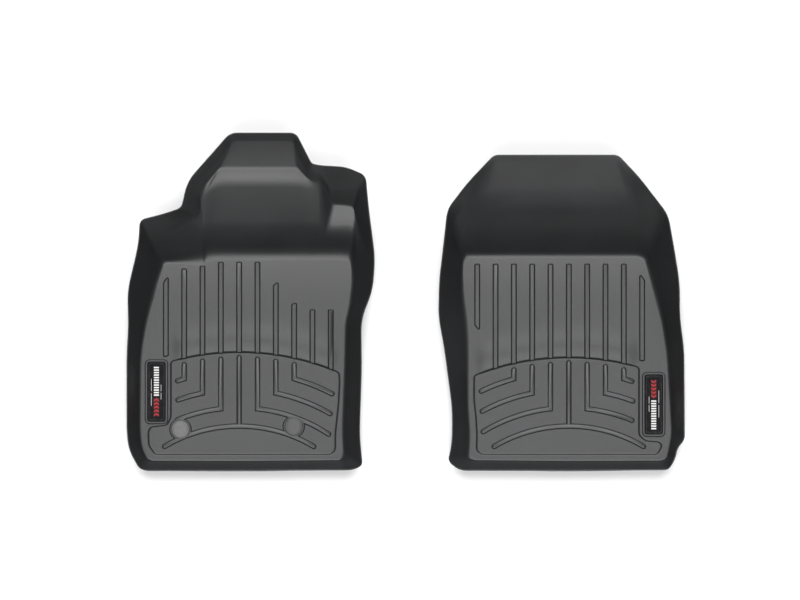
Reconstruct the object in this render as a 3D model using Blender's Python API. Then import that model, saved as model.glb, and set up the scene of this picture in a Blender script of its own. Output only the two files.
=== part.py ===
"""Floor mat set for the front of a small left-hand-drive car.

Two moulded floor liners lie side by side: the driver's on the left (-X) and the passenger's
on the right (+X), with the front of the car towards +Y. Each is one thermoformed sheet with a
sunken rear field, raised ribs and high walls, and carries a bonded badge. The driver's liner
also has two round retainers that snap over the car's floor posts and turn freely in their holes.

Lengths in this file are millimetres until MM turns them into metres. Each liner is drawn about
the middle line of its own rib pattern, and its object stands on that line.
"""

import math

import bmesh
import bpy
from mathutils import Vector

MM = 0.001
GAP = 0.3

# The liners.
SHEET = 3.0
LEDGE_Z = 6.0
FLOOR_Z = 3.0
STEP_RUN = 2.5
DRIVER_X = -347.0
PASSENGER_X = 338.6
CORNER_STEPS = 3

# How far up a plain side wall the intermediate lines of the front wall lie.
WALL_SHARES = (0.35, 0.6, 0.8, 0.93)

# The rib pattern: straight bars in front, and bent bars about one centre behind.
PITCH = 38.1
BAR_WIDTH = 12.5
BAR_HEIGHT = 3.6
BEND_WIDTH = 11.4
BEND_HEIGHT = 2.5
FLANK = 2.5
EMBED = 1.0
FIELD_RADIUS = 530.0
FAN_CENTRE_Y = -563.0
FAN_RADIUS = 305.0
FAN_HALF = 161.0
ARC_STEP = 24.0
STEM_DROP = 0.05
LEG_DROP = 2.0
LEG_CURVE = 1.4

# The badges.
BADGE_LENGTH = 120.0
BADGE_WIDTH = 35.5
PLATE_THICK = 2.4
PLATE_CHAMFER = 1.2
PLATE_BORDER = 3.0
INSERT_THICK = 0.8
POCKET_DEPTH = 1.1
TAPE_THICK = 0.8
TAPE_INSET = 2.5
FRAME_LENGTH = 135.0
FRAME_WIDTH = 49.0
FRAME_BAND = 5.0
FRAME_HEIGHT = 3.4
FRAME_FLANK = 1.8
FRAME_CORNER = 9.0

# The retainers.
BOSS_RADIUS = 23.0
BOSS_TOP_RADIUS = 21.0
BOSS_Z = 5.6
HOLE_RADIUS = 12.0
CAP_RADIUS = 18.2
CAP_THICK = 2.2
CAP_BEVEL = 0.8
DISH_RADIUS = 14.5
DISH_DEPTH = 0.4
BARREL_OUTER = 11.6
BARREL_INNER = 10.2
BARREL_END_Z = 2.1
FLANGE_RADIUS = 17.0
FLANGE_Z = 0.2
FLANGE_THICK = 1.4
POST_BORE = 7.2
TUBE_OUTER = 9.9
TUBE_INNER = 8.9
TUBE_TOP_Z = 5.0
SPRING_RADIUS = 7.6
SPRING_WIRE = 0.6
SPRING_SPAN = math.radians(320)
ROUND_SEGMENTS = 40
RETAINERS = {"left": (-122.0, -264.6), "right": (113.6, -258.8)}

BLACK_TPE = ("black_tpe", (0.030, 0.031, 0.033), 0.55, 0.0)
BLACK_PLASTIC = ("black_plastic", (0.020, 0.020, 0.021), 0.40, 0.0)
BADGE_PRINT = ("badge_print", (0.60, 0.05, 0.05), 0.35, 0.0)
FOAM_TAPE = ("foam_tape", (0.10, 0.10, 0.10), 0.90, 0.0)
RETAINER_PLASTIC = ("retainer_plastic", (0.06, 0.06, 0.062), 0.45, 0.0)
SPRING_STEEL = ("spring_steel", (0.55, 0.56, 0.58), 0.30, 1.0)


def clear_scene():
    """Removes every object that the file starts with."""
    for old in list(bpy.data.objects):
        bpy.data.objects.remove(old, do_unlink=True)


def material(name, colour, roughness, metallic):
    """Returns the Principled material of that name, made once."""
    if name in bpy.data.materials:
        return bpy.data.materials[name]
    made = bpy.data.materials.new(name)
    made.use_nodes = True
    shader = made.node_tree.nodes["Principled BSDF"]
    shader.inputs["Base Color"].default_value = (*colour, 1.0)
    shader.inputs["Roughness"].default_value = roughness
    shader.inputs["Metallic"].default_value = metallic
    return made


def face_outwards(shape):
    """Turns the faces of closed bodies outwards, and those of an open sheet upwards."""
    bmesh.ops.recalc_face_normals(shape, faces=shape.faces)
    is_open = any(edge.is_boundary for edge in shape.edges)
    if is_open and sum(face.normal.z * face.calc_area() for face in shape.faces) < 0:
        bmesh.ops.reverse_faces(shape, faces=shape.faces)


def add_object(name, shape, finish, location=(0.0, 0.0, 0.0)):
    """Turns a bmesh in millimetres into a named object in metres."""
    face_outwards(shape)
    bmesh.ops.scale(shape, vec=(MM, MM, MM), verts=shape.verts)
    mesh = bpy.data.meshes.new(name)
    shape.to_mesh(mesh)
    shape.free()
    mesh.materials.append(material(*finish))
    made = bpy.data.objects.new(name, mesh)
    made.location = Vector(location) * MM
    bpy.context.collection.objects.link(made)
    return made


def ring(shape, points):
    """Adds a closed loop of edges through the points, and returns its vertices and edges."""
    verts = [shape.verts.new(point) for point in points]
    edges = [shape.edges.new((verts[i - 1], verts[i])) for i in range(len(verts))]
    return verts, edges


def join_rings(shape, lower, upper):
    """Fills the band between two rings that have the same number of vertices."""
    for i in range(len(lower)):
        shape.faces.new((lower[i - 1], lower[i], upper[i], upper[i - 1]))


def fill_between(shape, edges):
    """Fills the flat region that the closed loops of edges bound."""
    bmesh.ops.triangle_fill(shape, use_beauty=True, use_dissolve=False, edges=edges, normal=(0, 0, 1))


def at_height(outline, z):
    """Returns the outline's points at one height."""
    return [Vector((x, y, z)) for x, y in outline]


def circle(centre, radius, segments):
    """Returns the points of a circle in plan, anticlockwise."""
    turns = [2 * math.pi * i / segments for i in range(segments)]
    return [(centre[0] + radius * math.cos(a), centre[1] + radius * math.sin(a)) for a in turns]


def arc(centre, radius, x_start, x_end, steps):
    """Returns points on the upper side of a circle, from one x to another."""
    xs = [x_start + (x_end - x_start) * i / steps for i in range(steps + 1)]
    return [(x, centre[1] + math.sqrt(radius ** 2 - (x - centre[0]) ** 2)) for x in xs]


def round_corners(points, radius):
    """Replaces each corner of a closed outline by a short arc-like stretch of that radius."""
    made = []
    for i, (x, y) in enumerate(points):
        corner = Vector((x, y))
        before = Vector(points[i - 1]) - corner
        after = Vector(points[(i + 1) % len(points)]) - corner
        reach = min(radius, 0.45 * before.length, 0.45 * after.length)
        start = corner + before.normalized() * reach
        end = corner + after.normalized() * reach
        for step in range(CORNER_STEPS):
            t = step / (CORNER_STEPS - 1)
            point = start.lerp(corner, t).lerp(corner.lerp(end, t), t)
            made.append((point.x, point.y))
    return made


def inset(outline, distance):
    """Returns an anticlockwise outline moved inwards by a distance, corner by corner."""
    made = []
    for i, point in enumerate(outline):
        here = Vector(point)
        into = (here - Vector(outline[i - 1])).normalized()
        out = (Vector(outline[(i + 1) % len(outline)]) - here).normalized()
        normal = (Vector((-into.y, into.x)) + Vector((-out.y, out.x))).normalized()
        spread = max(0.5, normal.dot(Vector((-into.y, into.x))))
        moved = here + normal * distance / spread
        made.append((moved.x, moved.y))
    return made


# ---------------------------------------------------------------- liners


def wall(rim, foot, knee=None, ledge=None, brow=None, lip=None):
    """Returns one section of a liner's wall, from its foot up to its rim.

    A plain wall runs straight from foot to rim. A front wall states where its riser ends
    (knee), where its shelf starts and ends (ledge, brow) and where its lip starts.
    """
    top = Vector(rim)
    base = Vector((foot[0], foot[1], LEDGE_Z))
    stated = (knee, ledge, brow, lip)
    middle = [Vector(point) if point else base.lerp(top, share) for point, share in zip(stated, WALL_SHARES)]
    return [base, *middle, top]


DRIVER_WALL = [
    wall((-194, -349, 42), (-181, -327)),
    wall((22, -349, 42), (22, -327)),
    wall((239, -347, 46), (207, -327)),
    wall((255, -338, 50), (215, -316)),
    wall((249, -277, 54), (212, -268)),
    wall((253, -141, 66), (218, -125)),
    wall((252, -35, 78), (220, -42)),
    wall((276, 25, 92), (230, -8)),
    wall((281, 92, 104), (236, 50)),
    wall((268, 190, 130), (234, 84), (239, 138, 55), (243, 154, 62), (245, 167, 65), (256, 176, 95)),
    wall((262, 262, 148), (228, 94), (233, 140, 56), (236, 172, 66), (238, 200, 72), (247, 235, 115)),
    wall((222, 279, 152), (212, 96), (214, 140, 56), (215, 172, 67), (215, 204, 73), (218, 235, 112)),
    wall((190, 281, 153), (186, 96), (187, 140, 57), (187, 172, 67), (194, 204, 74), (190, 236, 116)),
    wall((168, 282, 155), (172, 96), (173, 142, 60), (171, 200, 90), (169, 250, 116), (168, 266, 136)),
    wall((150, 286, 157), (150, 96), (158, 142, 62), (158, 242, 112), (147, 253, 117), (148, 268, 136)),
    wall((137, 312, 161), (128, 96), (130, 142, 60), (128, 253, 119), (123, 278, 121), (120, 306, 136)),
    wall((118, 349, 168), (106, 96), (108, 142, 60), (108, 254, 119), (108, 278, 121), (114, 337, 150)),
    wall((48, 349, 168), (40, 96), (40, 142, 60), (40, 254, 119), (42, 278, 121), (48, 337, 150)),
    wall((-17, 349, 168), (-35, 96), (-38, 142, 60), (-34, 254, 119), (-32, 278, 121), (-12, 337, 150)),
    wall((-50, 311, 161), (-58, 95), (-60, 142, 60), (-58, 244, 116), (-41, 277, 121), (-28, 306, 136)),
    wall((-105, 250, 145), (-70, 91), (-72, 142, 63), (-79, 222, 104), (-79, 236, 112), (-92, 243, 128)),
    wall((-118, 193, 131), (-75, 84), (-76, 140, 61), (-80, 180, 84), (-91, 186, 99), (-105, 190, 116)),
    wall((-164, 179, 126), (-128, 83)),
    wall((-203, 170, 122), (-157, 82)),
    wall((-206, 119, 112), (-166, 56)),
    wall((-229, 23, 104), (-175, 25)),
    wall((-227, -48, 84), (-194, -48)),
    wall((-231, -112, 64), (-203, -112)),
    wall((-231, -268, 58), (-204, -268)),
    wall((-227, -306, 54), (-200, -302)),
    wall((-207, -343, 46), (-190, -322)),
]

PASSENGER_WALL = [
    wall((205, -347, 42), (192, -327)),
    wall((218, -328, 48), (202, -322)),
    wall((223, -302, 54), (207, -300)),
    wall((238, -286, 58), (212, -272)),
    wall((237, -96, 66), (203, -110)),
    wall((228, -37, 84), (193, -40)),
    wall((227, 42, 102), (180, 12)),
    wall((214, 121, 116), (167, 60)),
    wall((203, 181, 132), (160, 88), (170, 116, 46), (178, 140, 70), (186, 158, 92), (195, 171, 112)),
    wall((144, 258, 154), (146, 96), (144, 134, 56), (142, 184, 102), (138, 218, 125), (135, 248, 146)),
    wall((100, 304, 170), (96, 96), (94, 136, 58), (94, 189, 109), (94, 226, 131), (94, 294, 165)),
    wall((0, 304, 170), (0, 96), (0, 136, 58), (0, 189, 109), (0, 226, 131), (0, 294, 165)),
    wall((-156, 304, 170), (-146, 96), (-146, 136, 58), (-146, 189, 108), (-148, 225, 130), (-150, 293, 164)),
    wall((-212, 245, 152), (-196, 96), (-198, 132, 54), (-200, 172, 92), (-202, 212, 122), (-203, 234, 139)),
    wall((-247, 198, 138), (-213, 96), (-220, 122, 44), (-228, 148, 74), (-236, 172, 100), (-240, 184, 118)),
    wall((-252, 183, 134), (-220, 86)),
    wall((-260, 110, 116), (-222, 56)),
    wall((-268, 46, 104), (-220, 12)),
    wall((-270, -31, 86), (-211, -42)),
    wall((-258, -94, 68), (-208, -100)),
    wall((-241, -220, 58), (-208, -210)),
    wall((-241, -291, 52), (-203, -280)),
    wall((-250, -330, 48), (-206, -322)),
    wall((-228, -348, 44), (-195, -327)),
    wall((0, -349, 42), (0, -327)),
]


def field_top(front_y):
    """Returns the centre of the arc that bounds the sunken field in front."""
    return (0.0, front_y - FIELD_RADIUS)


def driver_field():
    """Returns the anticlockwise outline of the driver's sunken field, at its upper edge."""
    front = arc(field_top(-104), FIELD_RADIUS, 208, -142, 12)
    right = [(200, -308), (200, -275), (207, -208), (209, -166)]
    left = [(-142, -240), (-150, -256), (-184, -260), (-189, -269), (-188, -298), (-175, -317)]
    rear = [(190, -317)]
    return round_corners(left + rear + right, 6)[:-1] + front


def passenger_field():
    """Returns the anticlockwise outline of the passenger's sunken field, at its upper edge."""
    front = arc(field_top(-115), FIELD_RADIUS, 146, -197, 12)
    left = [(-197, -204), (-193, -241), (-191, -275), (-192, -308), (-182, -317)]
    right = [(184, -317), (194, -299), (188, -291), (160, -289), (146, -277)]
    return round_corners(left + right, 6) + front


def liner_surface(sections, field, bosses):
    """Returns a liner's upper surface: walls, ledge, step, sunken floor and retainer bosses."""
    shape = bmesh.new()
    loops = [ring(shape, [section[level] for section in sections]) for level in range(len(sections[0]))]
    for lower, upper in zip(loops, loops[1:]):
        join_rings(shape, lower[0], upper[0])
    upper_edge, upper_edges = ring(shape, at_height(field, LEDGE_Z))
    lower_edge, lower_edges = ring(shape, at_height(inset(field, STEP_RUN), FLOOR_Z))
    join_rings(shape, lower_edge, upper_edge)
    fill_between(shape, loops[0][1] + upper_edges)
    floor_edges = list(lower_edges)
    for centre in bosses:
        base, base_edges = ring(shape, at_height(circle(centre, BOSS_RADIUS, ROUND_SEGMENTS), FLOOR_Z))
        top, _ = ring(shape, at_height(circle(centre, BOSS_TOP_RADIUS, ROUND_SEGMENTS), BOSS_Z))
        hole, _ = ring(shape, at_height(circle(centre, HOLE_RADIUS, ROUND_SEGMENTS), BOSS_Z))
        join_rings(shape, base, top)
        join_rings(shape, top, hole)
        floor_edges += base_edges
    fill_between(shape, floor_edges)
    return shape


def bar(shape, path, width, z, height, ends=(0.0, 0.0)):
    """Adds a closed bar along a path in plan, with sloping flanks, sunk a little into the sheet.

    ends skews each end: how far the bar's left side runs past its right side there.
    """
    points = [Vector(point) for point in path]
    count = len(points)
    rows = []
    for level, half in ((z - EMBED, width / 2), (z, width / 2), (z + height, width / 2 - FLANK)):
        left, right = [], []
        for i, point in enumerate(points):
            along = (points[min(i + 1, count - 1)] - points[max(i - 1, 0)]).normalized()
            side = Vector((-along.y, along.x))
            skew = ends[0] * -0.5 if i == 0 else ends[1] * 0.5 if i == count - 1 else 0.0
            shrink = width / 2 - half
            pull = along * (shrink if i == 0 else -shrink if i == count - 1 else 0.0)
            left.append((*(point + side * half + along * skew + pull), level))
            right.append((*(point - side * half - along * skew + pull), level))
        rows.append(ring(shape, right + left[::-1])[0])
    for lower, upper in zip(rows, rows[1:]):
        join_rings(shape, lower, upper)
    for row in (rows[0], rows[-1]):
        for i in range(count - 1):
            shape.faces.new((row[i], row[i + 1], row[2 * count - 2 - i], row[2 * count - 1 - i]))


def fan_arc(radius, x_start, x_end):
    """Returns points on one circle of the rear pattern, from one x to another."""
    steps = max(2, round(abs(x_end - x_start) / ARC_STEP))
    return arc((0.0, FAN_CENTRE_Y), radius, x_start, x_end, steps)


def bent_bars(shape, stem_y, arm_ends):
    """Adds the rear pattern: a bowed bar, a middle bar on it, and bars bent outwards beside that.

    stem_y is how far forward the middle bar runs, and arm_ends gives, for each bent bar from
    the inside out, the x where its left and right arms end.
    """
    bar(shape, fan_arc(FAN_RADIUS, -FAN_HALF, FAN_HALF), BEND_WIDTH, FLOOR_Z, BEND_HEIGHT)
    stem = [(0, FAN_CENTRE_Y + FAN_RADIUS), (0, stem_y)]
    bar(shape, stem, BEND_WIDTH, FLOOR_Z, BEND_HEIGHT - STEM_DROP)
    for number, ends in enumerate(arm_ends, start=1):
        radius = FAN_RADIUS + number * PITCH
        leg_x = number * PITCH
        start_y = stem_y - LEG_DROP - LEG_CURVE * number ** 2
        for side, end_x in zip((-1, 1), ends):
            sweep = fan_arc(radius, side * (leg_x + 8), end_x)
            corner_y = FAN_CENTRE_Y + math.sqrt(radius ** 2 - leg_x ** 2)
            path = [(side * leg_x, start_y), (side * leg_x, corner_y + 8), (side * (leg_x + 2), corner_y + 2)]
            bar(shape, path + sweep, BEND_WIDTH, FLOOR_Z, BEND_HEIGHT)


def straight_bars(shape, bars, front_y):
    """Adds the front pattern: bars along Y, by place in the row, front end, rear end and skews."""
    centre_x, centre_y = field_top(front_y)
    for place, (front, rear, skew_front, skew_rear) in bars.items():
        x = place * PITCH
        edge = centre_y + math.sqrt(FIELD_RADIUS ** 2 - (x - centre_x) ** 2)
        end = edge + STEP_RUN + BAR_WIDTH * abs(x) / FIELD_RADIUS if rear is None else rear
        bar(shape, [(x, end), (x, front)], BAR_WIDTH, LEDGE_Z, BAR_HEIGHT, (skew_rear, skew_front))


DRIVER_BARS = {
    -4: (50, -114, -20, 2),
    -3: (70, None, 0, 0),
    -2: (76, None, 0, 0),
    -1: (84, None, 0, 0),
    0: (84, None, 0, 0),
    1: (84, None, 0, 0),
    2: (40, None, -10, 0),
    3: (-2, None, -4, 0),
    4: (-15, None, 0, 0),
    5: (-15, None, 0, 0),
}

PASSENGER_BARS = {
    -5: (80, -56, 0, -16),
    **{place: (80, None, 0, 0) for place in range(-4, 4)},
    4: (55, -123, 20, 0),
}


def badge_frame(shape, centre):
    """Adds the raised rectangular frame that a badge sits in."""
    rows = []
    for side, base in ((1, 0.0), (-1, FRAME_BAND)):
        skirt = [(base, LEDGE_Z - EMBED), (base, LEDGE_Z), (base + side * FRAME_FLANK, LEDGE_Z + FRAME_HEIGHT)]
        rows += skirt[::side]
    loops = [ring(shape, at_height(badge_outline(centre, reach), z))[0] for reach, z in rows]
    for i, loop in enumerate(loops):
        join_rings(shape, loops[i - 1], loop)


def badge_outline(centre, reach):
    """Returns the frame's rounded outline, brought in by a distance."""
    half_x = FRAME_WIDTH / 2 - reach
    half_y = FRAME_LENGTH / 2 - reach
    corners = [(-half_x, -half_y), (half_x, -half_y), (half_x, half_y), (-half_x, half_y)]
    return round_corners([(centre[0] + x, centre[1] + y) for x, y in corners], FRAME_CORNER - reach)


def liner(name, x, surface, relief):
    """Makes a liner: the surface thickened downwards, with its relief joined to it."""
    made = add_object(name, surface, BLACK_TPE, (x, 0, 0))
    thick = made.modifiers.new("sheet", "SOLIDIFY")
    thick.thickness = SHEET * MM
    thick.offset = -1
    thick.use_even_offset = True
    raised = add_object(f"{name}_relief", relief, BLACK_TPE, (x, 0, 0))
    raised.hide_render = True
    raised.display_type = "WIRE"
    join = made.modifiers.new("relief", "BOOLEAN")
    join.operation = "UNION"
    join.solver = "EXACT"
    join.use_self = True
    join.object = raised


def driver_liner():
    """Makes the driver's liner."""
    surface = liner_surface(DRIVER_WALL, driver_field(), list(RETAINERS.values()))
    relief = bmesh.new()
    straight_bars(relief, DRIVER_BARS, -104)
    bent_bars(relief, -110, [(-132, 190), (-131, 193), (-132, 197)])
    badge_frame(relief, DRIVER_BADGE)
    liner("driver_liner", DRIVER_X, surface, relief)


def passenger_liner():
    """Makes the passenger's liner."""
    surface = liner_surface(PASSENGER_WALL, passenger_field(), [])
    relief = bmesh.new()
    straight_bars(relief, PASSENGER_BARS, -115)
    bent_bars(relief, -121, [(-182, 135), (-184, 137), (-186, 135)])
    badge_frame(relief, PASSENGER_BADGE)
    liner("passenger_liner", PASSENGER_X, surface, relief)


# ---------------------------------------------------------------- badges

DRIVER_BADGE = (-172.0, -186.5)
PASSENGER_BADGE = (176.5, -213.0)


def slab(shape, half_x, half_y, low, high, chamfer):
    """Adds a rectangular slab whose upper edges are chamfered."""
    levels = ((low, 0.0), (high - chamfer, 0.0), (high, chamfer))
    rows = []
    for z, reach in levels:
        x, y = half_x - reach, half_y - reach
        rows.append(ring(shape, [(-x, -y, z), (x, -y, z), (x, y, z), (-x, y, z)])[0])
    for lower, upper in zip(rows, rows[1:]):
        join_rings(shape, lower, upper)
    shape.faces.new(rows[0])
    return rows[-1]


def badge_plate(name, location):
    """Makes a badge's plate, with chamfered edges and a shallow pocket for its printed face."""
    shape = bmesh.new()
    half_x, half_y = BADGE_WIDTH / 2, BADGE_LENGTH / 2
    edge = slab(shape, half_x, half_y, 0.0, PLATE_THICK, PLATE_CHAMFER)
    x, y = half_x - PLATE_BORDER, half_y - PLATE_BORDER
    floor = PLATE_THICK - POCKET_DEPTH
    mouth = ring(shape, [(-x, -y, PLATE_THICK), (x, -y, PLATE_THICK), (x, y, PLATE_THICK), (-x, y, PLATE_THICK)])[0]
    base = ring(shape, [(-x, -y, floor), (x, -y, floor), (x, y, floor), (-x, y, floor)])[0]
    join_rings(shape, edge, mouth)
    join_rings(shape, mouth, base)
    shape.faces.new(base)
    return add_object(name, shape, BLACK_PLASTIC, location)


def flat_pad(name, half_x, half_y, thick, chamfer, finish, location):
    """Makes a thin rectangular pad."""
    shape = bmesh.new()
    shape.faces.new(slab(shape, half_x, half_y, 0.0, thick, chamfer))
    return add_object(name, shape, finish, location)


def badge(side, liner_x, centre):
    """Makes one badge: adhesive tape on the ledge, the plate on it, and the printed face."""
    x, y = liner_x + centre[0], centre[1]
    tape_z = LEDGE_Z + GAP
    plate_z = tape_z + TAPE_THICK + GAP
    insert_z = plate_z + PLATE_THICK - POCKET_DEPTH + GAP
    half_x, half_y = BADGE_WIDTH / 2, BADGE_LENGTH / 2
    tape = (half_x - TAPE_INSET, half_y - TAPE_INSET, TAPE_THICK, 0.1, FOAM_TAPE, (x, y, tape_z))
    flat_pad(f"{side}_badge_tape", *tape)
    badge_plate(f"{side}_badge_plate", (x, y, plate_z))
    reach = PLATE_BORDER + GAP
    face = (half_x - reach, half_y - reach, INSERT_THICK, 0.2, BADGE_PRINT, (x, y, insert_z))
    flat_pad(f"{side}_badge_insert", *face)


# ---------------------------------------------------------------- retainers


def turned(profile, closed):
    """Returns a shape turned about Z from a profile of radii and heights.

    A closed profile makes a ring. An open one starts and ends on the axis.
    """
    shape = bmesh.new()
    rows = [ring(shape, at_height(circle((0, 0), r, ROUND_SEGMENTS), z))[0] for r, z in profile]
    for i in range(0 if closed else 1, len(rows)):
        join_rings(shape, rows[i - 1], rows[i])
    if not closed:
        shape.faces.new(rows[0])
        shape.faces.new(rows[-1])
    return shape


def retainer_cap(name, location):
    """Makes the upper half: a bevelled disc with a shallow dish, and a barrel through the hole."""
    low = BOSS_Z + GAP
    high = low + CAP_THICK
    profile = [
        (BARREL_INNER, low + 0.4),
        (BARREL_INNER, BARREL_END_Z),
        (BARREL_OUTER, BARREL_END_Z),
        (BARREL_OUTER, low),
        (CAP_RADIUS, low),
        (CAP_RADIUS, high - CAP_BEVEL),
        (CAP_RADIUS - CAP_BEVEL, high),
        (DISH_RADIUS, high),
        (DISH_RADIUS - DISH_DEPTH, high - DISH_DEPTH),
    ]
    return add_object(name, turned(profile, closed=False), RETAINER_PLASTIC, location)


def retainer_socket(name, location):
    """Makes the lower half: a flange under the liner and a tube that snaps into the barrel."""
    shoulder = FLANGE_Z + FLANGE_THICK
    profile = [
        (POST_BORE, FLANGE_Z),
        (FLANGE_RADIUS, FLANGE_Z),
        (FLANGE_RADIUS, shoulder),
        (TUBE_OUTER, shoulder),
        (TUBE_OUTER, TUBE_TOP_Z),
        (TUBE_INNER, TUBE_TOP_Z),
        (TUBE_INNER, shoulder),
        (POST_BORE, shoulder),
    ]
    return add_object(name, turned(profile, closed=True), RETAINER_PLASTIC, location)


def retainer_spring(name, location):
    """Makes the split spring ring that lies on the socket's shoulder and grips the post."""
    shape = bmesh.new()
    z = FLANGE_Z + FLANGE_THICK + GAP + SPRING_WIRE
    steps = 30
    sides = 6
    rows = []
    for step in range(steps + 1):
        turn = SPRING_SPAN * step / steps
        along = Vector((math.cos(turn), math.sin(turn), 0))
        section = []
        for side in range(sides):
            a = 2 * math.pi * side / sides
            offset = along * (SPRING_RADIUS + SPRING_WIRE * math.cos(a))
            section.append(offset + Vector((0, 0, z + SPRING_WIRE * math.sin(a))))
        rows.append(ring(shape, section)[0])
    for lower, upper in zip(rows, rows[1:]):
        join_rings(shape, lower, upper)
    shape.faces.new(rows[0])
    shape.faces.new(rows[-1])
    return add_object(name, shape, SPRING_STEEL, location)


def retainer(side, centre):
    """Makes one retainer about its upright axis, under an empty that stands on that axis."""
    axis = bpy.data.objects.new(f"{side}_retainer_axis", None)
    axis.location = Vector((DRIVER_X + centre[0], centre[1], 0)) * MM
    bpy.context.collection.objects.link(axis)
    for make, part in ((retainer_cap, "cap"), (retainer_socket, "socket"), (retainer_spring, "spring")):
        make(f"{side}_retainer_{part}", (0, 0, 0)).parent = axis


clear_scene()
driver_liner()
passenger_liner()
badge("driver", DRIVER_X, DRIVER_BADGE)
badge("passenger", PASSENGER_X, PASSENGER_BADGE)
for retainer_side, retainer_centre in RETAINERS.items():
    retainer(retainer_side, retainer_centre)
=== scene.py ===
"""Looks of a pair of moulded floor liners: the driver's on the left, the passenger's on the right.

Each liner is rebuilt as a smooth moulded sheet round the same sections that its solid has, with
its raised bars, badge frame and retainer seats. Lengths are millimetres until MM turns them into
metres, and each liner is drawn about the middle line of its own bar pattern.
"""

import logging
import math
from dataclasses import dataclass, field
from enum import Enum
from typing import Callable, ClassVar, Iterable, Optional, Sequence, Union

import bmesh
import bpy
from mathutils import Matrix, Vector
from mathutils.geometry import delaunay_2d_cdt


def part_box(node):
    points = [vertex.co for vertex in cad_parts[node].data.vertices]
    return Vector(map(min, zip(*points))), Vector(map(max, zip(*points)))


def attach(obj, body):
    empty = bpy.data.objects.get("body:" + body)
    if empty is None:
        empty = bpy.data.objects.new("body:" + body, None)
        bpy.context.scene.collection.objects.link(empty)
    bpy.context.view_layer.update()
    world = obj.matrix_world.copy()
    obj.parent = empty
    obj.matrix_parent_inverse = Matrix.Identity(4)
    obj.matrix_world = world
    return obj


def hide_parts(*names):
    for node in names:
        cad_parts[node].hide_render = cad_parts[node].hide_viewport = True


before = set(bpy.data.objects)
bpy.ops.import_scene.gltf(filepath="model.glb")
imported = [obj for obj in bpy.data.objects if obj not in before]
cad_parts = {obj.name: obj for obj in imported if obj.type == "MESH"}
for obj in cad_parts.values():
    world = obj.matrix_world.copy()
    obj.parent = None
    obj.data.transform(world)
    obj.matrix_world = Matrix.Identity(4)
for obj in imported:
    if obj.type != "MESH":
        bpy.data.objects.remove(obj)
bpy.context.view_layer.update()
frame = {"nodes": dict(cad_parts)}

LOG = logging.getLogger("floor_liners")
MM = 0.001

Pair = tuple[float, float]
Triple = tuple[float, float, float]
Number = Union[int, float, "Value"]

SHEET = 3.0
LEDGE_Z = 6.0
FLOOR_Z = 3.0
PITCH = 38.1
FIELD_RADIUS = 530.0
FAN_CENTRE_Y = -563.0
FAN_RADIUS = 305.0
CURL_START = -10.0
CURL = 0.0011
CURL_FADE = 50.0
ROUND_SEGMENTS = 96
SHARP_ANGLE = math.radians(40)


# ---------------------------------------------------------------- node trees


class NodePad:
    """Adds nodes to a tree: the one way that every node in this file is made."""

    def __init__(self, tree: bpy.types.NodeTree) -> None:
        """Keeps the tree that the nodes go into."""
        self.tree = tree

    def node(
        self, kind: str, settings: Optional[dict] = None, sockets: Optional[dict] = None
    ) -> bpy.types.Node:
        """Adds one node.

        Args:
            kind: the node's type name.
            settings: attributes to set first; "stops" gives a colour ramp's positions and colours.
            sockets: values or links by the input's name or number.

        Returns:
            The node.
        """
        made = self.tree.nodes.new(kind)
        for name, value in (settings or {}).items():
            if name == "stops":
                self._set_stops(made.color_ramp, value)
            else:
                setattr(made, name, value)
        for name, value in (sockets or {}).items():
            self._feed(made.inputs[name], value)
        return made

    def _feed(self, socket: bpy.types.NodeSocket, value: object) -> None:
        """Links or sets one input."""
        if isinstance(value, Value):
            value = value.socket
        if isinstance(value, bpy.types.NodeSocket):
            self.tree.links.new(value, socket)
        else:
            socket.default_value = value

    @staticmethod
    def _set_stops(ramp: bpy.types.ColorRamp, stops: Sequence[tuple[float, tuple]]) -> None:
        """Sets a colour ramp's stops."""
        while len(ramp.elements) < len(stops):
            ramp.elements.new(0.5)
        for element, (position, colour) in zip(ramp.elements, stops):
            element.position = position
            element.color = (*colour, 1.0)


class Value:
    """A number that varies, wrapped so that sums on it read as Python expressions."""

    def __init__(self, pad: NodePad, socket: bpy.types.NodeSocket) -> None:
        """Wraps an output socket of a node on that pad."""
        self.pad = pad
        self.socket = socket

    def _math(self, operation: str, *numbers: Number) -> "Value":
        """Adds one Math node and wraps its result."""
        sockets = dict(enumerate(numbers))
        made = self.pad.node("ShaderNodeMath", {"operation": operation}, sockets)
        return Value(self.pad, made.outputs[0])

    def __add__(self, other: Number) -> "Value":
        """Sum."""
        return self._math("ADD", self, other)

    def __sub__(self, other: Number) -> "Value":
        """Difference."""
        return self._math("SUBTRACT", self, other)

    def __rsub__(self, other: Number) -> "Value":
        """Difference, reflected."""
        return self._math("SUBTRACT", other, self)

    def __mul__(self, other: Number) -> "Value":
        """Product."""
        return self._math("MULTIPLY", self, other)

    def __truediv__(self, other: Number) -> "Value":
        """Quotient."""
        return self._math("DIVIDE", self, other)

    def at_least(self, other: Number) -> "Value":
        """The larger of the two."""
        return self._math("MAXIMUM", self, other)

    def at_most(self, other: Number) -> "Value":
        """The smaller of the two."""
        return self._math("MINIMUM", self, other)

    def root(self) -> "Value":
        """Square root."""
        return self._math("SQRT", self)

    def is_below(self, other: Number) -> "Value":
        """One where this is below the other, else nought."""
        return self._math("LESS_THAN", self, other)

    def smooth(self, low: float, high: float) -> "Value":
        """Eases from nought at low to one at high."""
        made = self.pad.node(
            "ShaderNodeMapRange",
            {"interpolation_type": "SMOOTHSTEP"},
            {"Value": self, "From Min": low, "From Max": high},
        )
        return Value(self.pad, made.outputs["Result"])

    __radd__ = __add__
    __rmul__ = __mul__


# ---------------------------------------------------------------- finishes


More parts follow.
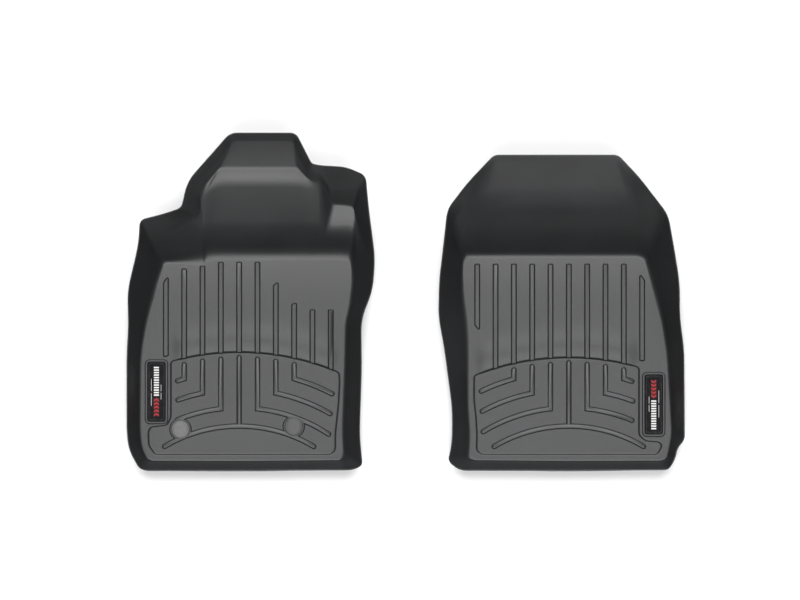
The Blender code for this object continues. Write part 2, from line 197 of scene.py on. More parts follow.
class SurfacePad(NodePad):
    """A material's nodes, round its one Principled shader."""

    def __init__(self, name: str) -> None:
        """Makes the material, with its Principled shader."""
        self.material = bpy.data.materials.new(name)
        self.material.use_nodes = True
        super().__init__(self.material.node_tree)
        self.shader = self.tree.nodes["Principled BSDF"]
        self.place = self.node("ShaderNodeTexCoord").outputs["Object"]

    def noise(self, scale: float, detail: float = 3.0, place: object = None) -> Value:
        """Returns a noise over the piece, about one half, with scale in turns per metre."""
        sockets = {"Vector": place or self.place, "Scale": scale, "Detail": detail, "Roughness": 0.55}
        return Value(self, self.node("ShaderNodeTexNoise", None, sockets).outputs["Fac"])

    def cells(self, scale: float) -> Value:
        """Returns the distance to the nearest of many scattered points."""
        sockets = {"Vector": self.place, "Scale": scale}
        return Value(self, self.node("ShaderNodeTexVoronoi", None, sockets).outputs["Distance"])

    def stretched(self, factors: Triple) -> bpy.types.NodeSocket:
        """Returns the piece's coordinates stretched along its axes."""
        return self.node("ShaderNodeMapping", None, {"Vector": self.place, "Scale": factors}).outputs[0]

    def tones(self, amount: Value, stops: Sequence[tuple[float, tuple]]) -> bpy.types.NodeSocket:
        """Returns a colour that runs through the stops as the amount goes from nought to one."""
        return self.node("ShaderNodeValToRGB", {"stops": stops}, {"Fac": amount}).outputs["Color"]

    def dress(
        self, colour: object, roughness: object, height: Optional[Value], depth: float, **fixed: float
    ) -> bpy.types.Material:
        """Feeds the shader.

        Args:
            colour: a colour or a link.
            roughness: a number or a link.
            height: what the bump follows, or None.
            depth: the bump's depth in metres.
            fixed: numbers for other inputs, with _ for each space in their names.

        Returns:
            The finished material.
        """
        self._feed(self.shader.inputs["Base Color"], colour)
        self._feed(self.shader.inputs["Roughness"], roughness)
        for name, value in fixed.items():
            self.shader.inputs[name.replace("_", " ")].default_value = value
        if height is not None:
            bump = self.node("ShaderNodeBump", None, {"Height": height, "Distance": depth})
            self._feed(self.shader.inputs["Normal"], bump.outputs["Normal"])
        return self.material


def shade(colour: Triple, factor: float) -> Triple:
    """Returns a colour made lighter or darker by a factor."""
    return tuple(channel * factor for channel in colour)


@dataclass(frozen=True)
class MouldedSheet:
    """Satin black elastomer with a fine pebbled grain."""

    name: str
    colour: Triple = (0.0165, 0.0170, 0.0180)
    roughness: float = 0.38
    grain_per_metre: float = 1500.0
    grain_depth: float = 0.00005

    def build(self) -> bpy.types.Material:
        """Returns the material."""
        pad = SurfacePad(self.name)
        clouds = pad.noise(9.0, detail=4.0)
        speckle = pad.noise(self.grain_per_metre * 0.6, detail=2.0)
        grain = pad.cells(self.grain_per_metre) + speckle * 0.5
        tone = clouds * 0.6 + speckle * 0.4
        stops = [(0.25, shade(self.colour, 0.82)), (0.75, shade(self.colour, 1.22))]
        roughness = self.roughness + (clouds - 0.5) * 0.10 + (speckle - 0.5) * 0.12
        return pad.dress(pad.tones(tone, stops), roughness, grain, self.grain_depth)


@dataclass(frozen=True)
class GrainedPlastic:
    """Hard moulded plastic with a faint spark-eroded grain."""

    name: str
    colour: Triple
    roughness: float
    grain_per_metre: float = 2200.0
    grain_depth: float = 0.00003

    def build(self) -> bpy.types.Material:
        """Returns the material."""
        pad = SurfacePad(self.name)
        grain = pad.noise(self.grain_per_metre, detail=2.0)
        rubbed = pad.noise(140.0, detail=4.0)
        stops = [(0.3, shade(self.colour, 0.85)), (0.7, shade(self.colour, 1.18))]
        roughness = self.roughness + (rubbed - 0.5) * 0.12
        return pad.dress(pad.tones(rubbed, stops), roughness, grain, self.grain_depth)


@dataclass(frozen=True)
class GlossFace:
    """Smooth printed face: an even colour with a film's slight ripple."""

    name: str
    colour: Triple
    roughness: float
    gleam: float = 0.5

    def build(self) -> bpy.types.Material:
        """Returns the material."""
        pad = SurfacePad(self.name)
        flecks = pad.noise(900.0, detail=2.0)
        film = pad.noise(60.0, detail=3.0)
        stops = [(0.35, shade(self.colour, 0.9)), (0.65, shade(self.colour, 1.08))]
        roughness = self.roughness + (film - 0.5) * 0.10
        return pad.dress(pad.tones(flecks, stops), roughness, film, 0.00001, Specular_IOR_Level=self.gleam)


@dataclass(frozen=True)
class FoamPad:
    """Matt closed-cell foam."""

    name: str
    colour: Triple = (0.09, 0.09, 0.09)

    def build(self) -> bpy.types.Material:
        """Returns the material."""
        pad = SurfacePad(self.name)
        bubbles = pad.cells(2600.0)
        stops = [(0.0, shade(self.colour, 0.6)), (0.6, shade(self.colour, 1.2))]
        return pad.dress(pad.tones(bubbles, stops), 0.9 - bubbles * 0.1, bubbles, 0.0001)


@dataclass(frozen=True)
class DrawnSteel:
    """Bright spring wire with fine marks along it."""

    name: str
    colour: Triple = (0.55, 0.56, 0.58)

    def build(self) -> bpy.types.Material:
        """Returns the material."""
        pad = SurfacePad(self.name)
        marks = pad.noise(700.0, detail=3.0, place=pad.stretched((1.0, 1.0, 6.0)))
        stops = [(0.3, shade(self.colour, 0.8)), (0.7, shade(self.colour, 1.1))]
        return pad.dress(pad.tones(marks, stops), 0.24 + marks * 0.16, marks, 0.00001, Metallic=1.0)


class Finishes:
    """Every finish of the pair, made once."""

    def __init__(self) -> None:
        """Builds the materials."""
        self.sheet = MouldedSheet("liner_sheet").build()
        self.plate = GrainedPlastic("badge_plate", (0.008, 0.008, 0.009), 0.16).build()
        self.face = GlossFace("badge_face", (0.006, 0.006, 0.007), 0.12).build()
        self.white = GlossFace("badge_white", (0.56, 0.56, 0.55), 0.4, 0.2).build()
        self.red = GlossFace("badge_red", (0.22, 0.010, 0.012), 0.4, 0.2).build()
        self.foam = FoamPad("foam_tape").build()
        self.cap_light = GrainedPlastic("retainer_cap_light", (0.078, 0.078, 0.080), 0.42).build()
        self.cap_dark = GrainedPlastic("retainer_cap_dark", (0.036, 0.036, 0.037), 0.45).build()
        self.socket = GrainedPlastic("retainer_socket", (0.040, 0.040, 0.041), 0.5).build()
        self.steel = DrawnSteel("spring_steel").build()


# ---------------------------------------------------------------- outlines


def arc(centre: Pair, radius: float, x_start: float, x_end: float, spacing: float) -> list[Vector]:
    """Returns points on the upper side of a circle in plan.

    Args:
        centre: the circle's centre.
        radius: its radius.
        x_start: the first point's x.
        x_end: the last point's x.
        spacing: about how far apart the points are.
    """
    steps = max(2, round(abs(x_end - x_start) / spacing))
    xs = [x_start + (x_end - x_start) * i / steps for i in range(steps + 1)]
    return [Vector((x, centre[1] + math.sqrt(radius ** 2 - (x - centre[0]) ** 2))) for x in xs]


def eased(share: float) -> float:
    """Returns a share, kept between nought and one, with its ends eased."""
    kept = min(1.0, max(0.0, share))
    return kept * kept * (3.0 - 2.0 * kept)


def curl(y: float) -> float:
    """Returns how far the ledge has risen at a y, as it curls up towards the front wall.

    CURL is how much slope the ledge gains per millimetre, from CURL_START on.
    """
    return 0.5 * CURL * max(0.0, y - CURL_START) ** 2


def circle(centre: Pair, radius: float, segments: int) -> list[Vector]:
    """Returns the points of a circle in plan, anticlockwise."""
    turns = [2 * math.pi * i / segments for i in range(segments)]
    return [Vector((centre[0] + radius * math.cos(a), centre[1] + radius * math.sin(a))) for a in turns]


@dataclass(frozen=True)
class Corner:
    """A rounded corner: where its curve starts, the corner itself, and where the curve ends."""

    start: Vector
    control: Vector
    end: Vector

    @classmethod
    def between(cls, before: Vector, here: Vector, after: Vector, reach: float) -> "Corner":
        """Returns the corner at a point, with its curve reaching that far along both sides."""
        back = (before - here).normalized()
        on = (after - here).normalized()
        return cls(here + back * reach, here.copy(), here + on * reach)

    def at(self, share: float) -> Vector:
        """Returns the point at a share of the way round the arc."""
        back = self.start - self.control
        on = self.end - self.control
        turn = math.pi - back.angle(on, math.pi)
        if turn < 0.02:
            return self.start.lerp(self.end, share)
        centre = self.control + (back + on).normalized() * (back.length / math.sin(0.5 * turn))
        first, last = self.start - centre, self.end - centre
        weights = math.sin((1 - share) * turn), math.sin(share * turn)
        return centre + (first * weights[0] + last * weights[1]) / math.sin(turn)


def corners_along(points: Sequence[Vector], reaches: Sequence[float], closed: bool) -> list[Corner]:
    """Returns the rounded corners of a line, where two corners share the side between them.

    Args:
        points: the corners, in plan or in space.
        reaches: how far each corner's curve would reach, or nought for a sharp corner.
        closed: whether the last point joins the first.
    """
    made = []
    count = len(points)
    for i, here in enumerate(points):
        if reaches[i] == 0 or not closed and i in (0, count - 1):
            made.append(Corner(here.copy(), here.copy(), here.copy()))
            continue
        kept = reaches[i]
        for j in (i - 1, (i + 1) % count):
            share = 0.96 * reaches[i] / (reaches[i] + reaches[j])
            kept = min(kept, share * (points[j] - here).length)
        made.append(Corner.between(points[i - 1], here, points[(i + 1) % count], kept))
    return made


def rounded(points: Sequence[Vector], reaches: Sequence[float], steps: int, closed: bool) -> list[Vector]:
    """Returns a line through the points with its corners rounded, each in that many steps."""
    made = []
    for corner, reach in zip(corners_along(points, reaches, closed), reaches):
        shares = [step / steps for step in range(steps + 1)] if reach else [0.0]
        made += [corner.at(share) for share in shares]
    return made


def divided(points: Sequence[Vector], spacing: float) -> list[Vector]:
    """Returns a closed outline with points added so that none are further apart than the spacing."""
    made = []
    for i, point in enumerate(points):
        following = points[(i + 1) % len(points)]
        parts = max(1, math.ceil((following - point).length / spacing))
        made += [point.lerp(following, part / parts) for part in range(parts)]
    return made


def inward(outline: Sequence[Vector]) -> list[Vector]:
    """Returns, for each point of an anticlockwise outline, the way that moves it one unit inwards."""
    made = []
    for i, here in enumerate(outline):
        into = (here - outline[i - 1]).normalized()
        out = (outline[(i + 1) % len(outline)] - here).normalized()
        first = Vector((-into.y, into.x))
        normal = (first + Vector((-out.y, out.x))).normalized()
        made.append(normal / max(0.5, normal.dot(first)))
    return made


def ribbon(path: Sequence[Vector], half: float, spacing: float) -> list[Vector]:
    """Returns the anticlockwise outline of a bar with mitred bends and round ends.

    Args:
        path: the bar's middle line.
        half: half its width.
        spacing: about how far apart the points of the round ends are.
    """
    turns = max(4, round(math.pi * half / spacing))
    outline = []
    for line in (list(path), list(path)[::-1]):
        for i, here in enumerate(line[1:], start=1):
            into = (here - line[i - 1]).normalized()
            out = (line[i + 1] - here).normalized() if i + 1 < len(line) else into
            first = Vector((into.y, -into.x))
            side = (first + Vector((out.y, -out.x))).normalized()
            if i + 1 < len(line):
                outline.append(here + side * half / max(0.4, side.dot(first)))
                continue
            for turn in range(turns + 1):
                angle = math.pi * turn / turns
                outline.append(here + first * half * math.cos(angle) + into * half * math.sin(angle))
    return outline


def rounded_box(half_x: float, half_y: float, corner: float, centre: Pair) -> list[Vector]:
    """Returns the anticlockwise outline of a rounded rectangle in plan."""
    signs = ((-1, -1), (1, -1), (1, 1), (-1, 1))
    corners = [Vector((centre[0] + x * half_x, centre[1] + y * half_y)) for x, y in signs]
    return divided(rounded(corners, [corner] * 4, 6, closed=True), 20.0)


def is_inside(point: Vector, outline: Sequence[Vector]) -> bool:
    """Tells whether a point in plan lies inside a closed outline."""
    inside = False
    for i, here in enumerate(outline):
        before = outline[i - 1]
        if (here.y > point.y) != (before.y > point.y):
            cross = here.x + (point.y - here.y) * (before.x - here.x) / (before.y - here.y)
            inside ^= point.x < cross
    return inside


# ---------------------------------------------------------------- meshes


class Shape:
    """A mesh under construction, in millimetres."""

    def __init__(self) -> None:
        """Starts empty."""
        self.mesh = bmesh.new()

    def row(self, points: Iterable[Vector]) -> list[bmesh.types.BMVert]:
        """Adds vertices at the points."""
        return [self.mesh.verts.new(point) for point in points]

    def band(self, lower: list, upper: list, closed: bool = True) -> None:
        """Fills the strip between two rows of as many vertices each."""
        for i in range(0 if closed else 1, len(lower)):
            self.mesh.faces.new((lower[i - 1], lower[i], upper[i], upper[i - 1]))

    def fill(
        self,
        outer: Sequence[Vector],
        holes: Sequence[Sequence[Vector]],
        spacing: float,
        height: Callable[[Vector], float],
    ) -> None:
        """Fills a region in plan with triangles that follow a height.

        Args:
            outer: the region's outline.
            holes: the outlines of its holes.
            spacing: the spacing of the points added inside.
            height: the surface's height at a point in plan.
        """
        rings = [[point.to_2d() for point in ring] for ring in (outer, *holes)]
        points: list[Vector] = []
        edges: list[tuple[int, int]] = []
        for ring in rings:
            first = len(points)
            points += ring
            edges += [(first + i, first + (i + 1) % len(ring)) for i in range(len(ring))]
        points += self._spread(rings, spacing)
        verts, _, faces, *_ = delaunay_2d_cdt(points, edges, [], 1, 1e-5)
        made = self.row(Vector((point.x, point.y, height(point))) for point in verts)
        for face in faces:
            middle = sum((verts[i] for i in face), Vector((0.0, 0.0))) / len(face)
            if not any(is_inside(middle, hole) for hole in rings[1:]):
                self.mesh.faces.new([made[i] for i in face])

    @staticmethod
    def _spread(rings: Sequence[Sequence[Vector]], spacing: float) -> list[Vector]:
        """Returns evenly staggered points inside the first ring and clear of all of them."""
        xs = [point.x for point in rings[0]]
        ys = [point.y for point in rings[0]]
        clear = 0.45 * spacing
        made = []
        for row in range(1, int((max(ys) - min(ys)) / spacing) + 1):
            shift = 0.5 * spacing * (row % 2)
            for column in range(1, int((max(xs) - min(xs)) / spacing) + 1):
                point = Vector((min(xs) + column * spacing + shift, min(ys) + row * spacing))
                if not is_inside(point, rings[0]) or any(is_inside(point, hole) for hole in rings[1:]):
                    continue
                if all((point - edge).length > clear for ring in rings for edge in ring):
                    made.append(point)
        return made

    def finish(
        self, name: str, material: bpy.types.Material, at: Pair = (0.0, 0.0), sheet: bool = False
    ) -> bpy.types.Object:
        """Turns the shape into an object.

        Args:
            name: the object's name.
            material: its finish.
            at: where its own origin lies, in millimetres.
            sheet: whether it is an open surface that faces up, and not a closed body.

        Returns:
            The object, in metres, with its place in its mesh.
        """
        bmesh.ops.remove_doubles(self.mesh, verts=self.mesh.verts, dist=0.001)
        bmesh.ops.recalc_face_normals(self.mesh, faces=self.mesh.faces)
        if sheet and sum(face.normal.z * face.calc_area() for face in self.mesh.faces) < 0:
            bmesh.ops.reverse_faces(self.mesh, faces=self.mesh.faces)
        place = Matrix.Diagonal((MM, MM, MM, 1)) @ Matrix.Translation((*at, 0))
        bmesh.ops.transform(self.mesh, matrix=place, verts=self.mesh.verts)
        mesh = bpy.data.meshes.new(name)
        self.mesh.to_mesh(mesh)
        self.mesh.free()
        mesh.materials.append(material)
        mesh.shade_smooth()
        mesh.set_sharp_from_angle(angle=SHARP_ANGLE)
        made = bpy.data.objects.new(name, mesh)
        bpy.context.scene.collection.objects.link(made)
        return made


def turned(
    name: str,
    profile: Sequence[Pair],
    reaches: Sequence[float],
    closed: bool,
    material: bpy.types.Material,
    at: Pair,
) -> bpy.types.Object:
    """Makes a round piece about an upright axis.

    Args:
        name: the object's name.
        profile: its radii and heights.
        reaches: how far each corner of the profile is rounded.
        closed: whether the profile closes on itself, as for a ring, or ends on the axis.
        material: its finish.
        at: its axis in plan.

    Returns:
        The object.
    """
    shape = Shape()
    line = rounded([Vector(point) for point in profile], reaches, 3, closed)
    rows = []
    for radius, z in line:
        if radius <= 0:
            rows.append(shape.row([Vector((0, 0, z))]))
        else:
            rows.append(shape.row(Vector((p.x, p.y, z)) for p in circle((0, 0), radius, ROUND_SEGMENTS)))
    for i in range(0 if closed else 1, len(rows)):
        lower, upper = rows[i - 1], rows[i]
        if len(lower) == len(upper):
            shape.band(lower, upper)
            continue
        tip, rim = sorted((lower, upper), key=len)
        for j in range(len(rim)):
            shape.mesh.faces.new((rim[j - 1], rim[j], tip[0]))
    return shape.finish(name, material, at)


# ---------------------------------------------------------------- geometry trees


class GeometryTree(NodePad):
    """A Geometry Nodes tree with named inputs, which ends in Realize Instances and Set Material."""

    def __init__(self, name: str, inputs: dict[str, float]) -> None:
        """Makes the tree.

        Args:
            name: the tree's name.
            inputs: its named sizes, in metres or as numbers, with their usual values.
        """
        super().__init__(bpy.data.node_groups.new(name, "GeometryNodeTree"))
        self.sockets: dict[str, str] = {}
        self._declare("Geometry", "NodeSocketGeometry")
        for label, value in inputs.items():
            made = self._declare(label, "NodeSocketInt" if isinstance(value, int) else "NodeSocketFloat")
            made.default_value = value
        self._declare("Finish", "NodeSocketMaterial")
        self.tree.interface.new_socket("Geometry", in_out="OUTPUT", socket_type="NodeSocketGeometry")
        self.entry = self.node("NodeGroupInput")

    def _declare(self, label: str, kind: str) -> bpy.types.NodeTreeInterfaceSocket:
        """Adds a named input and keeps its identifier."""
        made = self.tree.interface.new_socket(label, in_out="INPUT", socket_type=kind)
        self.sockets[label] = made.identifier
        return made

    def size(self, label: str) -> Value:
        """Returns a named input as a value."""
        return Value(self, self.entry.outputs[label])

    def vector(self, x: Number = 0.0, y: Number = 0.0, z: Number = 0.0) -> bpy.types.NodeSocket:
        """Returns a vector of three values."""
        return self.node("ShaderNodeCombineXYZ", None, {"X": x, "Y": y, "Z": z}).outputs[0]

    def close(self, geometry: bpy.types.NodeSocket) -> None:
        """Ends the tree."""
        smooth = self.node("GeometryNodeSetShadeSmooth", None, {"Geometry": geometry})
        real = self.node("GeometryNodeRealizeInstances", None, {"Geometry": smooth.outputs[0]})
        sockets = {"Geometry": real.outputs[0], "Material": self.entry.outputs["Finish"]}
        dressed = self.node("GeometryNodeSetMaterial", None, sockets)
        self.node("NodeGroupOutput", None, {"Geometry": dressed.outputs[0]})

    def grow(
        self, name: str, seed: bpy.types.Mesh, finish: bpy.types.Material, sizes: dict[str, float]
    ) -> bpy.types.Object:
        """Runs the tree on a mesh.

        Args:
            name: the new object's name.
            seed: the mesh that the tree starts from.
            finish: the result's material.
            sizes: values for the named inputs.

        Returns:
            A plain mesh object.
        """
        guide = bpy.data.objects.new(f"{name}_guide", seed)
        bpy.context.scene.collection.objects.link(guide)
        modifier = guide.modifiers.new("tree", "NODES")
        modifier.node_group = self.tree
        for label, value in {**sizes, "Finish": finish}.items():
            modifier[self.sockets[label]] = value
        graph = bpy.context.evaluated_depsgraph_get()
        graph.update()
        mesh = bpy.data.meshes.new_from_object(guide.evaluated_get(graph))
        mesh.name = name
        guide.modifiers.remove(modifier)
        bpy.data.objects.remove(guide)
        mesh.set_sharp_from_angle(angle=SHARP_ANGLE)
        made = bpy.data.objects.new(name, mesh)
        bpy.context.scene.collection.objects.link(made)
        return made


class RaisedBars(GeometryTree):
    """Closed outlines in plan grow into bars with smooth sloping flanks and a flat top."""

    STEPS = 9

    def __init__(self) -> None:
        """Builds the tree."""
        sizes = {"Base": 0.006, "Height": 0.0028, "Flank": 0.002, "Skirt": 0.002}
        swell = {"Swell": 0.0, "Swell Reach": 0.08, "Roll": 0.0, "Roll Reach": 0.03, "Fade": 0.02}
        edges = {"Left": -1.0, "Right": 1.0, "Middle": 0.0, "Centre": 0.0}
        super().__init__("raised_bars", sizes | swell | edges)
        base, height, flank, skirt = (self.size(label) for label in sizes)
        outlines = self.node("GeometryNodeMeshToCurve", None, {"Mesh": self.entry.outputs["Geometry"]})
        upright = self.node("GeometryNodeSetCurveNormal", {"mode": "Z_UP"}, {"Curve": outlines.outputs[0]})
        lifted = self.moved(upright.outputs[0], self.vector(z=base))
        sides = self.node(
            "GeometryNodeCurveToMesh",
            None,
            {"Curve": lifted, "Profile Curve": self.flank_profile(height, flank, skirt)},
        ).outputs["Mesh"]
        top = self.lid(sides, base + height)
        outer = self.node("GeometryNodeFlipFaces", None, {"Mesh": sides})
        bottom = self.node("GeometryNodeFlipFaces", None, {"Mesh": self.lid(sides, base - skirt)})
        joined = self.node("GeometryNodeJoinGeometry")
        for part in (outer.outputs[0], top, bottom.outputs[0]):
            self.tree.links.new(part, joined.inputs[0])
        welding = {"Geometry": joined.outputs[0], "Distance": 1e-6}
        whole = self.node("GeometryNodeMergeByDistance", None, welding)
        self.close(self.moved(whole.outputs[0], self.vector(z=self.lift(base - skirt * 0.5))))

    def lift(self, lowest: Value) -> Value:
        """Returns how far points above a height rise with the swell and curl of the ledge under them."""
        place = self.node("GeometryNodeInputPosition").outputs[0]
        parts = self.node("ShaderNodeSeparateXYZ", None, {"Vector": place})
        x = Value(self, parts.outputs["X"]) - self.size("Middle")
        y = Value(self, parts.outputs["Y"]) - self.size("Centre")
        past = (x * x + y * y).root() - FIELD_RADIUS * MM
        ends = (x - self.size("Left")).at_most(self.size("Right") - x)
        swell = (1.0 - past / self.size("Swell Reach")).smooth(0.0, 1.0) * self.size("Swell")
        roll = (1.0 - past / self.size("Roll Reach")).smooth(0.0, 1.0) * self.size("Roll")
        inside = (ends / self.size("Fade")).smooth(0.0, 1.0)
        front = (Value(self, parts.outputs["Y"]) - CURL_START * MM).at_least(0.0)
        above = 1.0 - Value(self, parts.outputs["Z"]).is_below(lowest)
        return ((swell - roll) * inside + front * front * (0.5 * CURL / MM)) * above

    def moved(self, geometry: bpy.types.NodeSocket, offset: bpy.types.NodeSocket) -> bpy.types.NodeSocket:
        """Returns the geometry moved by an offset."""
        sockets = {"Geometry": geometry, "Offset": offset}
        return self.node("GeometryNodeSetPosition", None, sockets).outputs[0]

    def flank_profile(self, height: Value, flank: Value, skirt: Value) -> bpy.types.NodeSocket:
        """Returns the curve that the outline is swept with: a skirt and then an easing flank."""
        line = self.node("GeometryNodeMeshLine", None, {"Count": self.STEPS + 2})
        index = Value(self, self.node("GeometryNodeInputIndex").outputs[0])
        share = (index - 1.0).at_least(0.0) / float(self.STEPS)
        rise = (share + share.smooth(0.0, 1.0)) * 0.5 * height - index.is_below(0.5) * skirt
        place = self.vector(x=share * flank * -1.0, y=rise * -1.0)
        bent = self.node("GeometryNodeSetPosition", None, {"Geometry": line.outputs[0], "Position": place})
        return self.node("GeometryNodeMeshToCurve", None, {"Mesh": bent.outputs[0]}).outputs[0]

    def lid(self, sides: bpy.types.NodeSocket, level: Value) -> bpy.types.NodeSocket:
        """Returns flat faces that close the bars at one height."""
        place = self.node("GeometryNodeInputPosition").outputs[0]
        z = Value(self, self.node("ShaderNodeSeparateXYZ", None, {"Vector": place}).outputs["Z"])
        gap = z - level
        near = self.node(
            "FunctionNodeCompare",
            {"data_type": "FLOAT", "operation": "LESS_THAN"},
            {"A": gap * gap, "B": 1e-10},
        )
        rim = self.node("GeometryNodeMeshToCurve", None, {"Mesh": sides, "Selection": near.outputs[0]})
        number = self.node("GeometryNodeInputIndex").outputs[0]
        sockets = {"Curve": rim.outputs[0], "Group ID": number}
        filled = self.node("GeometryNodeFillCurve", {"mode": "NGONS"}, sockets)
        return self.moved(filled.outputs[0], self.vector(z=level))


class Ridge(GeometryTree):
    """A closed line in plan grows into a ridge with rounded shoulders that stands on the sheet."""

    STEPS = 24
    FLANK_SHARE = 0.62

    def __init__(self) -> None:
        """Builds the tree."""
        super().__init__("ridge", {"Base": 0.006, "Height": 0.002, "Half Width": 0.002, "Skirt": 0.001})
        base, height, half, skirt = (self.size(label) for label in ("Base", "Height", "Half Width", "Skirt"))
        line = self.node("GeometryNodeMeshToCurve", None, {"Mesh": self.entry.outputs["Geometry"]})
        upright = self.node("GeometryNodeSetCurveNormal", {"mode": "Z_UP"}, {"Curve": line.outputs[0]})
        lifted = self.node(
            "GeometryNodeSetPosition", None, {"Geometry": upright.outputs[0], "Offset": self.vector(z=base)}
        )
        sockets = {"Resolution": 2 * self.STEPS, "Radius": 1.0}
        ring = self.node("GeometryNodeCurvePrimitiveCircle", None, sockets)
        place = self.node("GeometryNodeInputPosition").outputs[0]
        parts = self.node("ShaderNodeSeparateXYZ", None, {"Vector": place})
        across = Value(self, parts.outputs["X"])
        inwards = 1.0 - (across * across).root()
        under = Value(self, parts.outputs["Y"]).is_below(-0.001)
        rise = (inwards / self.FLANK_SHARE).smooth(0.0, 1.0) * height * (1.0 - under) - under * skirt
        shaped = self.node(
            "GeometryNodeSetPosition",
            None,
            {"Geometry": ring.outputs[0], "Position": self.vector(x=across * half, y=rise * -1.0)},
        )
        swept = self.node(
            "GeometryNodeCurveToMesh", None, {"Curve": lifted.outputs[0], "Profile Curve": shaped.outputs[0]}
        )
        outer = self.node("GeometryNodeFlipFaces", None, {"Mesh": swept.outputs["Mesh"]})
        self.close(outer.outputs[0])


class Row(GeometryTree):
    """One printed mark repeats along a badge."""

    def __init__(self) -> None:
        """Builds the tree."""
        super().__init__("row_of_marks", {"Count": 5, "Pitch": 0.01})
        step = self.vector(y=self.size("Pitch"))
        places = self.node("GeometryNodeMeshLine", None, {"Count": self.size("Count"), "Offset": step})
        marks = self.node(
            "GeometryNodeInstanceOnPoints",
            None,
            {"Points": places.outputs[0], "Instance": self.entry.outputs["Geometry"]},
        )
        self.close(marks.outputs[0])


def in_metres(lengths: dict[str, float]) -> dict[str, float]:
    """Returns named lengths turned from millimetres into metres."""
    return {label: length * MM for label, length in lengths.items()}


@dataclass(frozen=True)
class BarProfile:
    """A raised bar's section: its height, how wide each flank is, and how deep it is sunk."""

    height: float
    flank: float
    skirt: float

    def sizes(self, base: float) -> dict[str, float]:
        """Returns the sizes that RaisedBars takes for bars on a surface at that height."""
        lengths = {"Base": base, "Height": self.height, "Flank": self.flank, "Skirt": self.skirt}
        return in_metres(lengths)


def guide_loops(name: str, outlines: Iterable[Sequence[Vector]], at: Pair) -> bpy.types.Mesh:
    """Returns a mesh of closed lines in plan, in metres.

    Args:
        name: the mesh's name.
        outlines: the closed lines, in millimetres.
        at: where their own origin lies, in millimetres.
    """
    verts: list[Triple] = []
    edges: list[tuple[int, int]] = []
    for outline in outlines:
        first = len(verts)
        count = len(outline)
        verts += [((point.x + at[0]) * MM, (point.y + at[1]) * MM, 0.0) for point in outline]
        edges += [(first + i, first + (i + 1) % count) for i in range(count)]
    mesh = bpy.data.meshes.new(name)
    mesh.from_pydata(verts, edges, [])
    return mesh


# ---------------------------------------------------------------- liners


@dataclass(frozen=True)
class Section:
    """A section of a liner's wall.

    A plain wall runs straight from its foot to its rim. A front wall also states where its
    riser ends (knee), where its shelf starts and ends (shelf, brow) and where its lip starts.
    """

    SIDE_FILLET: ClassVar[float] = 4.0
    SIDE_SHARES: ClassVar[tuple[float, ...]] = (0.35, 0.6, 0.8, 0.93)

    rim: Triple
    foot: Pair
    knee: Optional[Triple] = None
    shelf: Optional[Triple] = None
    brow: Optional[Triple] = None
    lip: Optional[Triple] = None

    def line(self, fillet: float) -> list[Vector]:
        """Returns the section's corners from the pan to the rim.

        Args:
            fillet: how far a front wall's fillet reaches to either side of its foot.
        """
        top = Vector(self.rim)
        base = Vector((*self.foot, LEDGE_Z))
        stated = (self.knee, self.shelf, self.brow, self.lip)
        middle = []
        for point, share in zip(stated, self.SIDE_SHARES):
            middle.append(Vector(point) if point else base.lerp(top, share))
        outwards = Vector((middle[0].x - base.x, middle[0].y - base.y, 0.0)).normalized()
        half = fillet if self.knee else self.SIDE_FILLET
        return [base - outwards * half, base + outwards * half, *middle, top]


